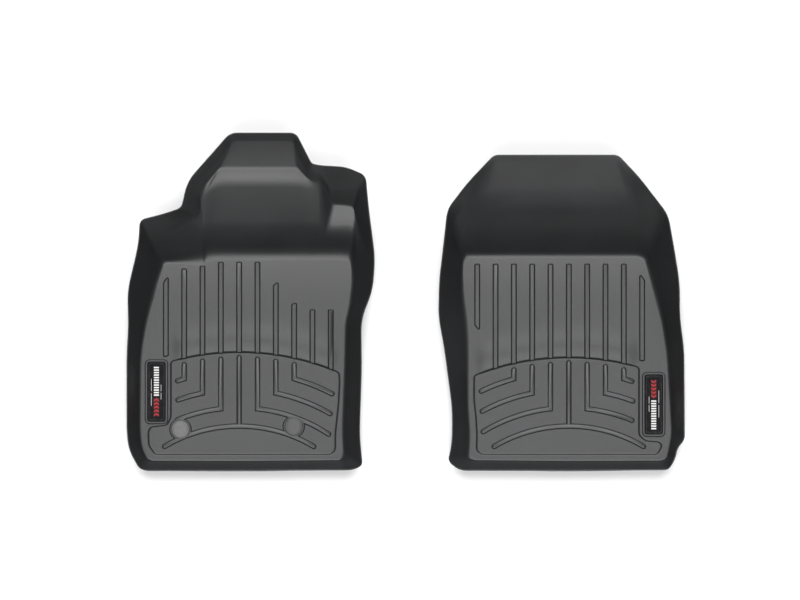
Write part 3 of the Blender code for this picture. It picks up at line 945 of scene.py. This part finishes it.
@dataclass(frozen=True)
class Recess:
    """The sunken rear field: a line round its sides and rear, and an arc in front.

    step gives insets from the outline and how much of the step's height is left there. Towards the
    arc the ledge swells over swell_reach and then rolls down over roll_reach, less at its ends.
    """

    sides: Sequence[Pair]
    front_y: float
    left_x: float
    right_x: float
    step: tuple[Pair, ...] = ((-2.6, 1.0), (-1.1, 1.0), (1.2, 0.0), (3.0, 0.0))
    swell: float = 5.5
    swell_reach: float = 80.0
    roll: float = 3.5
    roll_reach: float = 30.0
    fade: float = 24.0

    @property
    def centre(self) -> Pair:
        """The arc's centre."""
        return (0.0, self.front_y - FIELD_RADIUS)

    def sizes(self, middle: float) -> dict[str, float]:
        """Returns the sizes that RaisedBars takes for the ledge of a liner whose middle is at an x."""
        lengths = {
            "Swell": self.swell,
            "Swell Reach": self.swell_reach,
            "Roll": self.roll,
            "Roll Reach": self.roll_reach,
            "Fade": self.fade,
            "Left": self.left_x,
            "Right": self.right_x,
            "Middle": middle,
            "Centre": self.centre[1],
        }
        return in_metres(lengths)

    def front_edge(self, x: float) -> float:
        """Returns the y of the arc at an x."""
        return self.centre[1] + math.sqrt(FIELD_RADIUS ** 2 - x ** 2)

    def outline(self) -> list[Vector]:
        """Returns the anticlockwise outline of the step's upper edge."""
        sides = [Vector(point) for point in self.sides]
        front = arc(self.centre, FIELD_RADIUS, self.right_x, self.left_x, 14.0)
        reaches = [6.0] * (len(sides) + 1) + [0.0] * (len(front) - 2) + [6.0]
        return divided(rounded(sides + front, reaches, 6, closed=True), 6.0)

    def ledge_height(self, point: Vector) -> float:
        """Returns the height of the ledge, which swells towards the arc and then rolls down to it."""
        past = math.hypot(point.x, point.y - self.centre[1]) - FIELD_RADIUS
        ends = min(point.x - self.left_x, self.right_x - point.x)
        inside = eased(ends / self.fade) if point.y > self.front_y - 60.0 else 0.0
        swell = self.swell * eased(1.0 - past / self.swell_reach)
        roll = self.roll * eased(1.0 - past / self.roll_reach)
        return LEDGE_Z + (swell - roll) * inside + curl(point.y)

    def rows(self) -> list[list[Vector]]:
        """Returns the rows of points down the step, from the ledge to the floor."""
        outline = self.outline()
        ways = inward(outline)
        profile = rounded([Vector(point) for point in self.step], [0.0, 1.3, 1.3, 0.0], 4, closed=False)
        made = []
        for distance, share in profile:
            row = []
            for point, way in zip(outline, ways):
                drop = self.ledge_height(point) - FLOOR_Z
                moved = point + way * distance * drop / (LEDGE_Z - FLOOR_Z)
                z = FLOOR_Z + drop * share
                row.append(Vector((moved.x, moved.y, z)))
            made.append(row)
        return made


@dataclass(frozen=True)
class WallLoft:
    """A liner's walls: a surface through its sections, rounded both round the liner and up the wall.

    convex gives how far the curves up the wall reach where it gets less steep, and concave where it
    gets steeper.
    """

    sections: Sequence[Section]
    fillet: float
    corner: float
    longest: float = 26.0
    spacing: float = 12.0
    steps: int = 6
    convex: tuple[float, ...] = (30.0, 18.0, 18.0, 8.0)
    concave: float = 5.0
    flange: float = 1.2
    rear_flange: float = 1.6

    def columns(self) -> list[list[Vector]]:
        """Returns the wall's profiles in order round the liner, each from the pan to the rim."""
        levels = [list(level) for level in zip(*(section.line(self.fillet) for section in self.sections))]
        parts = []
        for i in range(len(self.sections)):
            longest = max((level[i] - level[i - len(level) + 1]).length for level in levels)
            parts.append(max(1, math.ceil(longest / self.spacing)))
        loops = [self._loop(level, parts) for level in levels]
        return [[self._curled(point) for point in self._profile(column)] for column in zip(*loops)]

    @staticmethod
    def _curled(point: Vector) -> Vector:
        """Returns a point of the wall lifted as the ledge is; the lift fades up the wall."""
        share = 1.0 - eased((point.z - LEDGE_Z) / CURL_FADE)
        return point + Vector((0.0, 0.0, share * curl(point.y)))

    def _loop(self, points: Sequence[Vector], parts: Sequence[int]) -> list[Vector]:
        """Returns one level's closed line, rounded at each section and divided between them."""
        count = len(points)
        reaches = []
        for i, here in enumerate(points):
            turn = (here - points[i - 1]).angle(points[(i + 1) % count] - here, 0.0)
            reaches.append(min(self.longest, self.corner * 0.5 * math.pi / max(turn, 0.05)))
        corners = corners_along(points, reaches, closed=True)
        made = []
        for i, corner in enumerate(corners):
            following = corners[(i + 1) % count]
            made += [corner.at(step / self.steps) for step in range(self.steps + 1)]
            made += [corner.end.lerp(following.start, part / parts[i]) for part in range(1, parts[i])]
        return made

    def _profile(self, column: Sequence[Vector]) -> list[Vector]:
        """Returns one column's line, rounded at its corners, with a short flange at the rim."""
        rise = column[-1] - column[-2]
        outwards = Vector((rise.x, rise.y, 0.0)).normalized()
        rearward = max(0.0, -outwards.y) ** 4
        edge = column[-1] + outwards * (self.flange + self.rear_flange * rearward)
        rises = [on - here for here, on in zip(column, column[1:])]
        slopes = [way.z / max(0.01, way.to_2d().length) for way in rises]
        reaches = [0.0, (column[1] - column[0]).length]
        for level, convex in enumerate(self.convex, start=1):
            reaches.append(convex if slopes[level] > slopes[level + 1] else self.concave)
        return rounded([*column, edge], [*reaches, self.flange, 0.0], 4, closed=False)


@dataclass
class Boss:
    """A raised round seat for a retainer, with a hole through it."""

    centre: Pair
    profile: tuple[Pair, ...] = (
        (24.6, 3.0),
        (22.9, 3.0),
        (21.4, 6.0),
        (19.0, 6.0),
        (18.7, 5.6),
        (12.0, 5.6),
    )
    reaches: tuple[float, ...] = (0.0, 0.8, 0.6, 0.2, 0.2, 0.0)
    segments: int = 72

    def rows(self) -> list[list[Vector]]:
        """Returns the circles of points up the boss and in to its hole."""
        line = rounded([Vector(point) for point in self.profile], self.reaches, 3, closed=False)
        made = []
        for radius, z in line:
            made.append([Vector((*point, z)) for point in circle(self.centre, radius, self.segments)])
        return made


@dataclass(frozen=True)
class StraightBar:
    """A raised bar along Y, at a place in the row of bars.

    It ends just over the step where no rear end is stated. A skew is how far its left side runs
    past its right side at that end.
    """

    place: int
    front: float
    rear: Optional[float] = None
    skew_front: float = 0.0
    skew_rear: float = 0.0
    half: float = 6.25
    corner: float = 3.4
    overhang: float = 2.2

    def outline(self, recess: Recess) -> list[Vector]:
        """Returns the bar's anticlockwise outline."""
        left, right = self.place * PITCH - self.half, self.place * PITCH + self.half
        if self.rear is None:
            rear_left, rear_right = (recess.front_edge(x) - self.overhang for x in (left, right))
        else:
            rear_left, rear_right = self.rear - self.skew_rear / 2, self.rear + self.skew_rear / 2
        corners = [
            Vector((left, rear_left)),
            Vector((right, rear_right)),
            Vector((right, self.front - self.skew_front / 2)),
            Vector((left, self.front + self.skew_front / 2)),
        ]
        skews = (rear_right - rear_left, self.skew_front)
        rear_slant, front_slant = (math.tan(0.5 * math.atan2(2 * self.half, skew)) for skew in skews)
        shares = [1 / rear_slant, rear_slant, front_slant, 1 / front_slant]
        reaches = [self.corner * share for share in shares]
        return divided(rounded(corners, reaches, 6, closed=True), 12.0)


@dataclass(frozen=True)
class Fan:
    """The rear pattern: a bowed bar, a middle bar on it, and bars bent outwards beside that.

    arms gives, for each bent bar from the inside out, the x where its left and right arms end.
    The bent bars start further back than the middle bar, by a drop that grows as a curve.
    """

    stem_y: float
    arms: Sequence[Pair]
    half: float = 5.8
    reach: float = 161.0
    stem_gap: float = 6.6
    leg_drop: float = 2.0
    leg_curve: float = 1.4
    bend: float = 10.0
    spacing: float = 5.0

    def outlines(self) -> list[list[Vector]]:
        """Returns the bars' anticlockwise outlines."""
        centre = (0.0, FAN_CENTRE_Y)
        bow = arc(centre, FAN_RADIUS, -self.reach + self.half, self.reach - self.half, self.spacing)
        stem_foot = FAN_CENTRE_Y + FAN_RADIUS + self.stem_gap
        paths = [bow, [Vector((0.0, stem_foot)), Vector((0.0, self.stem_y - self.half))]]
        for number, ends in enumerate(self.arms, start=1):
            radius = FAN_RADIUS + number * PITCH
            leg = number * PITCH
            start_y = self.stem_y - self.leg_drop - self.leg_curve * number ** 2 - self.half
            corner_y = FAN_CENTRE_Y + math.sqrt(radius ** 2 - leg ** 2)
            for side, end in zip((-1, 1), ends):
                tip = end - side * (self.half - 2.0)
                sweep = arc(centre, radius, side * (leg + self.bend), tip, self.spacing)
                paths.append([Vector((side * leg, start_y)), Vector((side * leg, corner_y)), *sweep])
        return [ribbon(path, self.half, 1.2) for path in paths]


@dataclass(frozen=True)
class BadgeFrame:
    """The raised frame round a badge: half the sides of its middle line, and its ridge's section."""

    half_x: float = 20.9
    half_y: float = 64.2
    corner: float = 7.0
    height: float = 4.0
    half_width: float = 3.6
    skirt: float = 1.0

    def outline(self, centre: Pair) -> list[Vector]:
        """Returns the frame's middle line about a centre."""
        return rounded_box(self.half_x, self.half_y, self.corner, centre)

    def sizes(self) -> dict[str, float]:
        """Returns the sizes that Ridge takes."""
        lengths = {"Height": self.height, "Half Width": self.half_width, "Skirt": self.skirt}
        return in_metres({"Base": LEDGE_Z, **lengths})


@dataclass
class Liner:
    """One liner: its moulded sheet, and the bars and badge frame raised on it."""

    side: str
    x: float
    walls: WallLoft
    recess: Recess
    bars: Sequence[StraightBar]
    fan: Fan
    badge_centre: Pair
    badge_way: int
    bosses: Sequence[Boss] = ()
    front_profile: BarProfile = BarProfile(height=3.8, flank=2.8, skirt=2.6)
    rear_profile: BarProfile = BarProfile(height=2.9, flank=2.8, skirt=1.2)
    frame: BadgeFrame = BadgeFrame()
    pieces: list[bpy.types.Object] = field(default_factory=list)

    def build(self, finishes: Finishes, bars: RaisedBars, ridge: Ridge) -> list[bpy.types.Object]:
        """Builds the liner.

        Args:
            finishes: the finishes.
            bars: the tree that grows bars.
            ridge: the tree that grows the badge frame.

        Returns:
            Its pieces.
        """
        self.pieces.append(self._sheet(finishes.sheet))
        outlines = [bar.outline(self.recess) for bar in self.bars]
        sizes = self.front_profile.sizes(LEDGE_Z) | self.recess.sizes(self.x)
        self._grow("front_bars", outlines, bars, sizes, finishes.sheet)
        sizes = self.rear_profile.sizes(FLOOR_Z)
        self._grow("rear_bars", self.fan.outlines(), bars, sizes, finishes.sheet)
        frame_line = self.frame.outline(self.badge_centre)
        self._grow("badge_frame", [frame_line], ridge, self.frame.sizes(), finishes.sheet)
        for piece in self.pieces:
            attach(piece, f"{self.side}_mat")
            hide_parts(f"{self.side}_liner")
        return self.pieces

    def _grow(
        self, part: str, outlines: list, tree: GeometryTree, sizes: dict, finish: bpy.types.Material
    ) -> None:
        """Grows one pattern on the liner."""
        name = f"{self.side}_{part}"
        seed = guide_loops(f"{name}_lines", outlines, (self.x, 0.0))
        self.pieces.append(tree.grow(name, seed, finish, sizes))

    def _sheet(self, finish: bpy.types.Material) -> bpy.types.Object:
        """Makes the moulded sheet, with its thickness downwards."""
        shape = Shape()
        columns = [shape.row(column) for column in self.walls.columns()]
        for i, column in enumerate(columns):
            shape.band(columns[i - 1], column, closed=False)
        pan_edge = [column[0].co.copy() for column in columns]
        self._stack(shape, self.recess.rows())
        step = self.recess.rows()
        shape.fill(pan_edge, [step[0]], 12.0, self.recess.ledge_height)
        seats = [boss.rows() for boss in self.bosses]
        for seat in seats:
            self._stack(shape, seat)
        shape.fill(step[-1], [seat[0] for seat in seats], 14.0, lambda point: FLOOR_Z)
        surface = shape.finish(f"{self.side}_sheet", finish, (self.x, 0.0), sheet=True)
        return thickened(surface, SHEET)

    @staticmethod
    def _stack(shape: Shape, rows: Sequence[Sequence[Vector]]) -> None:
        """Joins closed rows of points, each to the next."""
        made = [shape.row(row) for row in rows]
        for lower, upper in zip(made, made[1:]):
            shape.band(lower, upper)


def thickened(surface: bpy.types.Object, thickness: float) -> bpy.types.Object:
    """Gives an open surface a thickness downwards, and returns it as a plain mesh object."""
    solid = surface.modifiers.new("thickness", "SOLIDIFY")
    solid.thickness = thickness * MM
    solid.offset = -1
    solid.use_quality_normals = True
    graph = bpy.context.evaluated_depsgraph_get()
    graph.update()
    mesh = bpy.data.meshes.new_from_object(surface.evaluated_get(graph))
    surface.modifiers.remove(solid)
    surface.data = mesh
    mesh.set_sharp_from_angle(angle=SHARP_ANGLE)
    return surface


# ---------------------------------------------------------------- badges


@dataclass(frozen=True)
class Slab:
    """A rectangular piece: half its sides, its corners' rounding, and insets and heights up its side."""

    half_x: float
    half_y: float
    corner: float
    profile: tuple[Pair, ...]


@dataclass(frozen=True)
class Mark:
    """A mark printed in a row along a badge: its outline, its first place, and the row."""

    part: str
    outline: tuple[Pair, ...]
    start: Pair
    count: int
    pitch: float


@dataclass
class Badge:
    """A badge: tape on the ledge, a chamfered plate on that, and a face printed with plain marks.

    way is 1 where the print's red end is at the rear, and -1 where it is turned about.
    """

    TAPE: ClassVar[Slab] = Slab(15.25, 57.5, 0.5, ((0, 6.3), (0, 7.1)))
    PLATE: ClassVar[Slab] = Slab(
        17.75, 60.0, 1.0, ((0.3, 7.4), (0, 7.7), (0, 8.6), (1.2, 9.8), (3.0, 9.8), (3.0, 8.7))
    )
    FACE: ClassVar[Slab] = Slab(14.45, 56.7, 0.4, ((0, 9.0), (0, 9.65), (0.15, 9.8)))
    BARS: ClassVar[Mark] = Mark(
        "bars", ((-5.2, -1.5), (5.2, -1.5), (5.2, 1.5), (-5.2, 1.5)), (0.0, -7.0), 12, 5.2
    )
    CHEVRONS: ClassVar[Mark] = Mark(
        "chevrons",
        ((-5.2, -1.5), (0, 1.5), (5.2, -1.5), (5.2, 3.5), (0, 6.5), (-5.2, 3.5)),
        (0.0, -50.0),
        5,
        7.6,
    )
    LEFT_DASHES: ClassVar[Mark] = Mark(
        "left_dashes", ((-0.35, -13.0), (0.35, -13.0), (0.35, 13.0), (-0.35, 13.0)), (-10.6, -16.0), 2, 30.0
    )
    RIGHT_DASHES: ClassVar[Mark] = Mark(
        "right_dashes", ((-0.35, -7.0), (0.35, -7.0), (0.35, 7.0), (-0.35, 7.0)), (9.6, -9.0), 2, 17.0
    )
    FILM: ClassVar[Pair] = (9.72, 9.86)

    side: str
    centre: Pair
    way: int

    def build(self, finishes: Finishes, row: Row) -> list[bpy.types.Object]:
        """Builds the badge.

        Args:
            finishes: the finishes.
            row: the tree that repeats a mark.

        Returns:
            Its pieces.
        """
        tape = self._slab("tape", self.TAPE, finishes.foam)
        plate = self._slab("plate", self.PLATE, finishes.plate)
        face = self._slab("insert", self.FACE, finishes.face)
        made = [tape, plate, face, *self._print(finishes, row)]
        slots = ["foam_tape", "badge_plate"] + ["badge_print"] * (len(made) - 2)
        nodes = ["tape", "plate"] + ["insert"] * (len(made) - 2)
        for piece, slot, node in zip(made, slots, nodes):
            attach(piece, f"{self.side}_mat")
            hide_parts(f"{self.side}_badge_{node}")
        return made

    def _slab(self, part: str, slab: Slab, finish: bpy.types.Material) -> bpy.types.Object:
        """Makes a rectangular piece, from its underside to its top."""
        shape = Shape()
        rows = []
        for reach, z in slab.profile:
            corner = max(0.2, slab.corner - reach)
            box = rounded_box(slab.half_x - reach, slab.half_y - reach, corner, (0.0, 0.0))
            rows.append(shape.row(Vector((point.x, point.y, z)) for point in box))
        for lower, upper in zip(rows, rows[1:]):
            shape.band(lower, upper)
        shape.mesh.faces.new(rows[0])
        shape.mesh.faces.new(rows[-1])
        return shape.finish(f"{self.side}_badge_{part}_face", finish, self.centre)

    def _print(self, finishes: Finishes, row: Row) -> list[bpy.types.Object]:
        """Makes the printed marks: a row of short bars, a row of chevrons and two thin lines."""
        white, red = finishes.white, finishes.red
        made = []
        for mark, finish in (
            (self.BARS, white),
            (self.CHEVRONS, red),
            (self.LEFT_DASHES, white),
            (self.RIGHT_DASHES, white),
        ):
            seed = self._seed(mark)
            sizes = {"Count": mark.count, "Pitch": self.way * mark.pitch * MM}
            made.append(row.grow(f"{self.side}_badge_{mark.part}", seed, finish, sizes))
        return made

    def _seed(self, mark: Mark) -> bpy.types.Mesh:
        """Returns one mark as a film on the badge's face, with faces that fit four or six corners."""
        shape = Shape()
        middle = Vector(self.centre)
        places = [middle + (Vector(point) + Vector(mark.start)) * self.way for point in mark.outline]
        low, high = (shape.row(Vector((*place, z)) for place in places) for z in self.FILM)
        shape.band(low, high)
        for row in (low, high):
            if len(row) == 4:
                shape.mesh.faces.new(row)
            else:
                shape.mesh.faces.new((row[0], row[1], row[4], row[5]))
                shape.mesh.faces.new((row[1], row[2], row[3], row[4]))
        bmesh.ops.recalc_face_normals(shape.mesh, faces=shape.mesh.faces)
        bmesh.ops.scale(shape.mesh, vec=(MM, MM, MM), verts=shape.mesh.verts)
        mesh = bpy.data.meshes.new(f"{self.side}_{mark.part}_mark")
        shape.mesh.to_mesh(mesh)
        shape.mesh.free()
        return mesh


# ---------------------------------------------------------------- retainers


@dataclass
class Retainer:
    """A two-part snap-in retainer: a cap above the liner, a socket below it and a spring ring."""

    SPRING_PLACE: ClassVar[Pair] = (7.6, 2.5)
    SPRING_WIRE: ClassVar[float] = 0.5
    SPRING_SPAN: ClassVar[float] = math.radians(320.0)
    SPRING_STEPS: ClassVar[int] = 72

    side: str
    axis: Pair
    cap_finish: bpy.types.Material

    def build(self, finishes: Finishes) -> list[bpy.types.Object]:
        """Builds the retainer and returns its pieces."""
        made = {
            "cap": self._cap(),
            "socket": self._socket(finishes.socket),
            "spring": self._spring(finishes.steel),
        }
        for part, piece in made.items():
            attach(piece, f"{self.side}_retainer")
            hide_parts(f"{self.side}_retainer_{part}")
        return list(made.values())

    def _cap(self) -> bpy.types.Object:
        """Makes the cap: a bevelled disc, a fine groove in it, a low dome and a barrel below."""
        shell = [(0.0, 6.3), (10.2, 6.3), (10.2, 2.1), (11.6, 2.1), (11.6, 5.9), (18.2, 5.9), (18.2, 7.2)]
        rim = [(17.4, 8.0), (15.0, 8.05), (14.7, 7.75), (14.3, 7.75), (14.1, 8.0)]
        dome = [(14.1 * (1 - i / 6), 8.0 + 0.5 * (1 - (1 - i / 6) ** 2)) for i in range(1, 7)]
        reaches = [0.0, 0.1, 0.2, 0.2, 0.2, 0.3, 0.5] + [0.4, 0.2, 0.1, 0.1, 0.2] + [0.0] * 6
        return turned(f"{self.side}_cap", shell + rim + dome, reaches, False, self.cap_finish, self.axis)

    def _socket(self, finish: bpy.types.Material) -> bpy.types.Object:
        """Makes the socket: a flange under the liner and a tube up into the cap's barrel."""
        flange = [(7.2, 0.2), (17.0, 0.2), (17.0, 1.6)]
        tube = [(9.9, 1.6), (9.9, 5.0), (8.9, 5.0), (8.9, 1.6)]
        bore = [(7.2, 1.6)]
        reaches = [0.2, 0.4, 0.4, 0.2, 0.2, 0.2, 0.1, 0.2]
        return turned(f"{self.side}_socket", flange + tube + bore, reaches, True, finish, self.axis)

    def _spring(self, finish: bpy.types.Material) -> bpy.types.Object:
        """Makes the spring: a split ring of round wire."""
        shape = Shape()
        rows = []
        for step in range(self.SPRING_STEPS + 1):
            turn = self.SPRING_SPAN * step / self.SPRING_STEPS
            away = Vector((math.cos(turn), math.sin(turn), 0.0))
            section = []
            for point in circle(self.SPRING_PLACE, self.SPRING_WIRE, 14):
                section.append(away * point.x + Vector((0.0, 0.0, point.y)))
            rows.append(shape.row(section))
        for lower, upper in zip(rows, rows[1:]):
            shape.band(lower, upper)
        shape.mesh.faces.new(rows[0])
        shape.mesh.faces.new(rows[-1])
        return shape.finish(f"{self.side}_spring", finish, self.axis)


# ---------------------------------------------------------------- studio


class Side(Enum):
    """The sides that a lamp can lean towards, with the turn about the upright that brings it there."""

    FRONT = 0.0
    REAR = 180.0


@dataclass(frozen=True)
class Softbox:
    """A wide lamp far overhead: the side that it leans to, by how far, its width and its strength."""

    side: Side
    lean: float
    width: float
    strength: float

    def build(self) -> None:
        """Adds the lamp."""
        name = f"softbox_{self.side.name.lower()}"
        lamp = bpy.data.lights.new(name, "SUN")
        lamp.energy = self.strength
        lamp.angle = math.radians(self.width)
        holder = bpy.data.objects.new(name, lamp)
        holder.rotation_euler = (math.radians(-self.lean), 0.0, math.radians(self.side.value))
        bpy.context.scene.collection.objects.link(holder)


@dataclass
class Studio:
    """A pale floor under wide overhead softboxes, seen straight from above."""

    middle: Pair = (-0.0125, 0.0042)
    span: float = 1.664
    height: float = 36.0
    lamps: tuple[Softbox, ...] = (
        Softbox(Side.FRONT, 34.0, 54.0, 3.7),
        Softbox(Side.REAR, 24.0, 38.0, 2.2),
    )
    sky: float = 0.11
    floor_half: float = 9000.0
    floor_z: float = -1.0

    def build(self) -> None:
        """Builds the floor, the lamps, the sky and the camera."""
        self._floor()
        for lamp in self.lamps:
            lamp.build()
        self._sky()
        self._camera()
        bpy.context.scene.view_settings.view_transform = "Standard"

    def _floor(self) -> None:
        """Makes the floor."""
        pad = SurfacePad("studio_floor")
        tone = pad.noise(0.6, detail=2.0)
        colour = pad.tones(tone, [(0.0, (0.86, 0.86, 0.86)), (1.0, (0.90, 0.90, 0.90))])
        finish = pad.dress(colour, 0.85, None, 0.0)
        shape = Shape()
        signs = ((-1, -1), (1, -1), (1, 1), (-1, 1))
        corners = [Vector((x * self.floor_half, y * self.floor_half, self.floor_z)) for x, y in signs]
        shape.mesh.faces.new(shape.row(corners))
        shape.finish("studio_floor", finish, sheet=True)

    def _sky(self) -> None:
        """Makes the dim even surroundings."""
        world = bpy.data.worlds.new("studio_sky")
        world.use_nodes = True
        backdrop = world.node_tree.nodes["Background"]
        backdrop.inputs["Color"].default_value = (1.0, 1.0, 1.0, 1.0)
        backdrop.inputs["Strength"].default_value = self.sky
        bpy.context.scene.world = world

    def _camera(self) -> None:
        """Makes the camera."""
        lens = bpy.data.cameras.new("camera")
        lens.lens = lens.sensor_width * self.height / self.span
        lens.clip_end = 100.0
        camera = bpy.data.objects.new("camera", lens)
        camera.location = (*self.middle, self.height)
        bpy.context.scene.collection.objects.link(camera)
        bpy.context.scene.camera = camera


# ---------------------------------------------------------------- the pair


DRIVER_SECTIONS = (
    Section((-194, -349, 42), (-181, -327)),
    Section((22, -349, 42), (22, -327)),
    Section((239, -347, 46), (207, -327)),
    Section((255, -338, 50), (215, -316)),
    Section((249, -277, 54), (212, -268)),
    Section((253, -141, 66), (218, -125)),
    Section((252, -35, 78), (220, -42)),
    Section((276, 25, 92), (230, -8)),
    Section((281, 92, 104), (236, 50)),
    Section((268, 190, 130), (234, 84), (239, 138, 55), (243, 154, 62), (245, 167, 65), (256, 176, 95)),
    Section((262, 262, 148), (228, 94), (233, 140, 56), (236, 172, 66), (238, 200, 72), (247, 235, 115)),
    Section((222, 279, 152), (212, 96), (214, 140, 56), (215, 172, 67), (215, 204, 73), (218, 235, 112)),
    Section((190, 281, 153), (186, 96), (187, 140, 57), (187, 172, 67), (194, 204, 74), (190, 236, 116)),
    Section((168, 282, 155), (172, 96), (173, 142, 60), (171, 200, 90), (169, 250, 116), (168, 266, 136)),
    Section((150, 286, 157), (150, 96), (158, 142, 62), (158, 242, 112), (147, 253, 117), (148, 268, 136)),
    Section((137, 312, 161), (128, 96), (130, 142, 60), (128, 253, 119), (123, 278, 121), (120, 306, 136)),
    Section((118, 349, 168), (106, 96), (108, 142, 60), (108, 254, 119), (108, 278, 121), (114, 337, 150)),
    Section((48, 349, 168), (40, 96), (40, 142, 60), (40, 254, 119), (42, 278, 121), (48, 337, 150)),
    Section((-17, 349, 168), (-35, 96), (-38, 142, 60), (-34, 254, 119), (-32, 278, 121), (-12, 337, 150)),
    Section((-50, 311, 161), (-58, 95), (-60, 142, 60), (-58, 244, 116), (-41, 277, 121), (-28, 306, 136)),
    Section((-105, 250, 145), (-70, 91), (-72, 142, 63), (-79, 222, 104), (-79, 236, 112), (-92, 243, 128)),
    Section((-118, 193, 131), (-75, 84), (-76, 140, 61), (-80, 180, 84), (-91, 186, 99), (-105, 190, 116)),
    Section((-164, 179, 126), (-128, 83)),
    Section((-203, 170, 122), (-157, 82)),
    Section((-206, 119, 112), (-166, 56)),
    Section((-229, 23, 104), (-175, 25)),
    Section((-227, -48, 84), (-194, -48)),
    Section((-231, -112, 64), (-203, -112)),
    Section((-231, -268, 58), (-204, -268)),
    Section((-227, -306, 54), (-200, -302)),
    Section((-207, -343, 46), (-190, -322)),
)

PASSENGER_SECTIONS = (
    Section((205, -347, 42), (192, -327)),
    Section((218, -328, 48), (202, -322)),
    Section((223, -302, 54), (207, -300)),
    Section((238, -286, 58), (212, -272)),
    Section((237, -96, 66), (203, -110)),
    Section((228, -37, 84), (193, -40)),
    Section((227, 42, 102), (180, 12)),
    Section((214, 121, 116), (167, 60)),
    Section((203, 181, 132), (160, 88), (170, 116, 46), (178, 140, 70), (186, 158, 92), (195, 171, 112)),
    Section((144, 258, 154), (146, 96), (144, 134, 56), (142, 184, 102), (138, 218, 125), (135, 248, 146)),
    Section((100, 304, 170), (96, 96), (94, 136, 58), (94, 189, 109), (94, 226, 131), (94, 294, 165)),
    Section((0, 304, 170), (0, 96), (0, 136, 58), (0, 189, 109), (0, 226, 131), (0, 294, 165)),
    Section(
        (-156, 304, 170), (-146, 96), (-146, 136, 58), (-146, 189, 108), (-148, 225, 130), (-150, 293, 164)
    ),
    Section(
        (-212, 245, 152), (-196, 96), (-198, 132, 54), (-200, 172, 92), (-202, 212, 122), (-203, 234, 139)
    ),
    Section(
        (-247, 198, 138), (-213, 96), (-220, 122, 44), (-228, 148, 74), (-236, 172, 100), (-240, 184, 118)
    ),
    Section((-252, 183, 134), (-220, 86)),
    Section((-260, 110, 116), (-222, 56)),
    Section((-268, 46, 104), (-220, 12)),
    Section((-270, -31, 86), (-211, -42)),
    Section((-258, -94, 68), (-208, -100)),
    Section((-241, -220, 58), (-208, -210)),
    Section((-241, -291, 52), (-203, -280)),
    Section((-250, -330, 48), (-206, -322)),
    Section((-228, -348, 44), (-195, -327)),
    Section((0, -349, 42), (0, -327)),
)

DRIVER_RECESS = Recess(
    sides=(
        (-142, -240),
        (-150, -256),
        (-184, -260),
        (-189, -269),
        (-188, -298),
        (-175, -317),
        (190, -317),
        (200, -308),
        (200, -275),
        (207, -208),
        (209, -166),
    ),
    front_y=-104.0,
    left_x=-142.0,
    right_x=208.0,
)

PASSENGER_RECESS = Recess(
    sides=(
        (-197, -204),
        (-193, -241),
        (-191, -275),
        (-192, -308),
        (-182, -317),
        (184, -317),
        (194, -299),
        (188, -291),
        (160, -289),
        (146, -277),
    ),
    front_y=-115.0,
    left_x=-197.0,
    right_x=146.0,
)

DRIVER_BARS = (
    StraightBar(-4, 50, -114, -20, 2),
    StraightBar(-3, 70),
    StraightBar(-2, 76),
    *(StraightBar(place, 84) for place in (-1, 0, 1)),
    StraightBar(2, 40, skew_front=-10),
    StraightBar(3, -2, skew_front=-4),
    StraightBar(4, -15),
    StraightBar(5, -15),
)

PASSENGER_BARS = (
    StraightBar(-5, 80, -56, 0, -16),
    *(StraightBar(place, 80) for place in range(-4, 4)),
    StraightBar(4, 55, -123, 20),
)

DRIVER_RETAINERS = {"left": (-122.0, -264.6), "right": (113.6, -258.8)}


def liners() -> tuple[Liner, Liner]:
    """Returns the driver's and the passenger's liner."""
    driver = Liner(
        side="driver",
        x=-347.0,
        walls=WallLoft(DRIVER_SECTIONS, fillet=10.0, corner=8.0),
        recess=DRIVER_RECESS,
        bars=DRIVER_BARS,
        fan=Fan(-110.0, ((-132, 190), (-131, 193), (-132, 197))),
        badge_centre=(-172.0, -186.5),
        badge_way=1,
        bosses=[Boss(centre) for centre in DRIVER_RETAINERS.values()],
    )
    passenger = Liner(
        side="passenger",
        x=338.6,
        walls=WallLoft(PASSENGER_SECTIONS, fillet=5.0, corner=5.5),
        recess=PASSENGER_RECESS,
        bars=PASSENGER_BARS,
        fan=Fan(-121.0, ((-182, 135), (-184, 137), (-186, 135))),
        badge_centre=(176.5, -213.0),
        badge_way=-1,
    )
    return driver, passenger


def middle_of(node: str) -> Pair:
    """Returns the middle of a node's box in plan, in millimetres."""
    low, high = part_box(node)
    return ((low[0] + high[0]) / 2 / MM, (low[1] + high[1]) / 2 / MM)


def report(piece: bpy.types.Object) -> None:
    """Logs a finished piece."""
    LOG.info("%s: %d faces", piece.name, len(piece.data.polygons))


def main() -> None:
    """Builds the liners, the badges and the retainers, and then the studio."""
    logging.basicConfig(level=logging.INFO, format="%(message)s")
    finishes = Finishes()
    bars, ridge, row = RaisedBars(), Ridge(), Row()
    made = []
    for liner in liners():
        made += liner.build(finishes, bars, ridge)
        badge = Badge(liner.side, middle_of(f"{liner.side}_badge_plate"), liner.badge_way)
        made += badge.build(finishes, row)
    for side, cap_finish in (("left", finishes.cap_light), ("right", finishes.cap_dark)):
        made += Retainer(side, middle_of(f"{side}_retainer_cap"), cap_finish).build(finishes)
    Studio().build()
    for piece in made:
        report(piece)


if __name__ == "__main__":
    main()
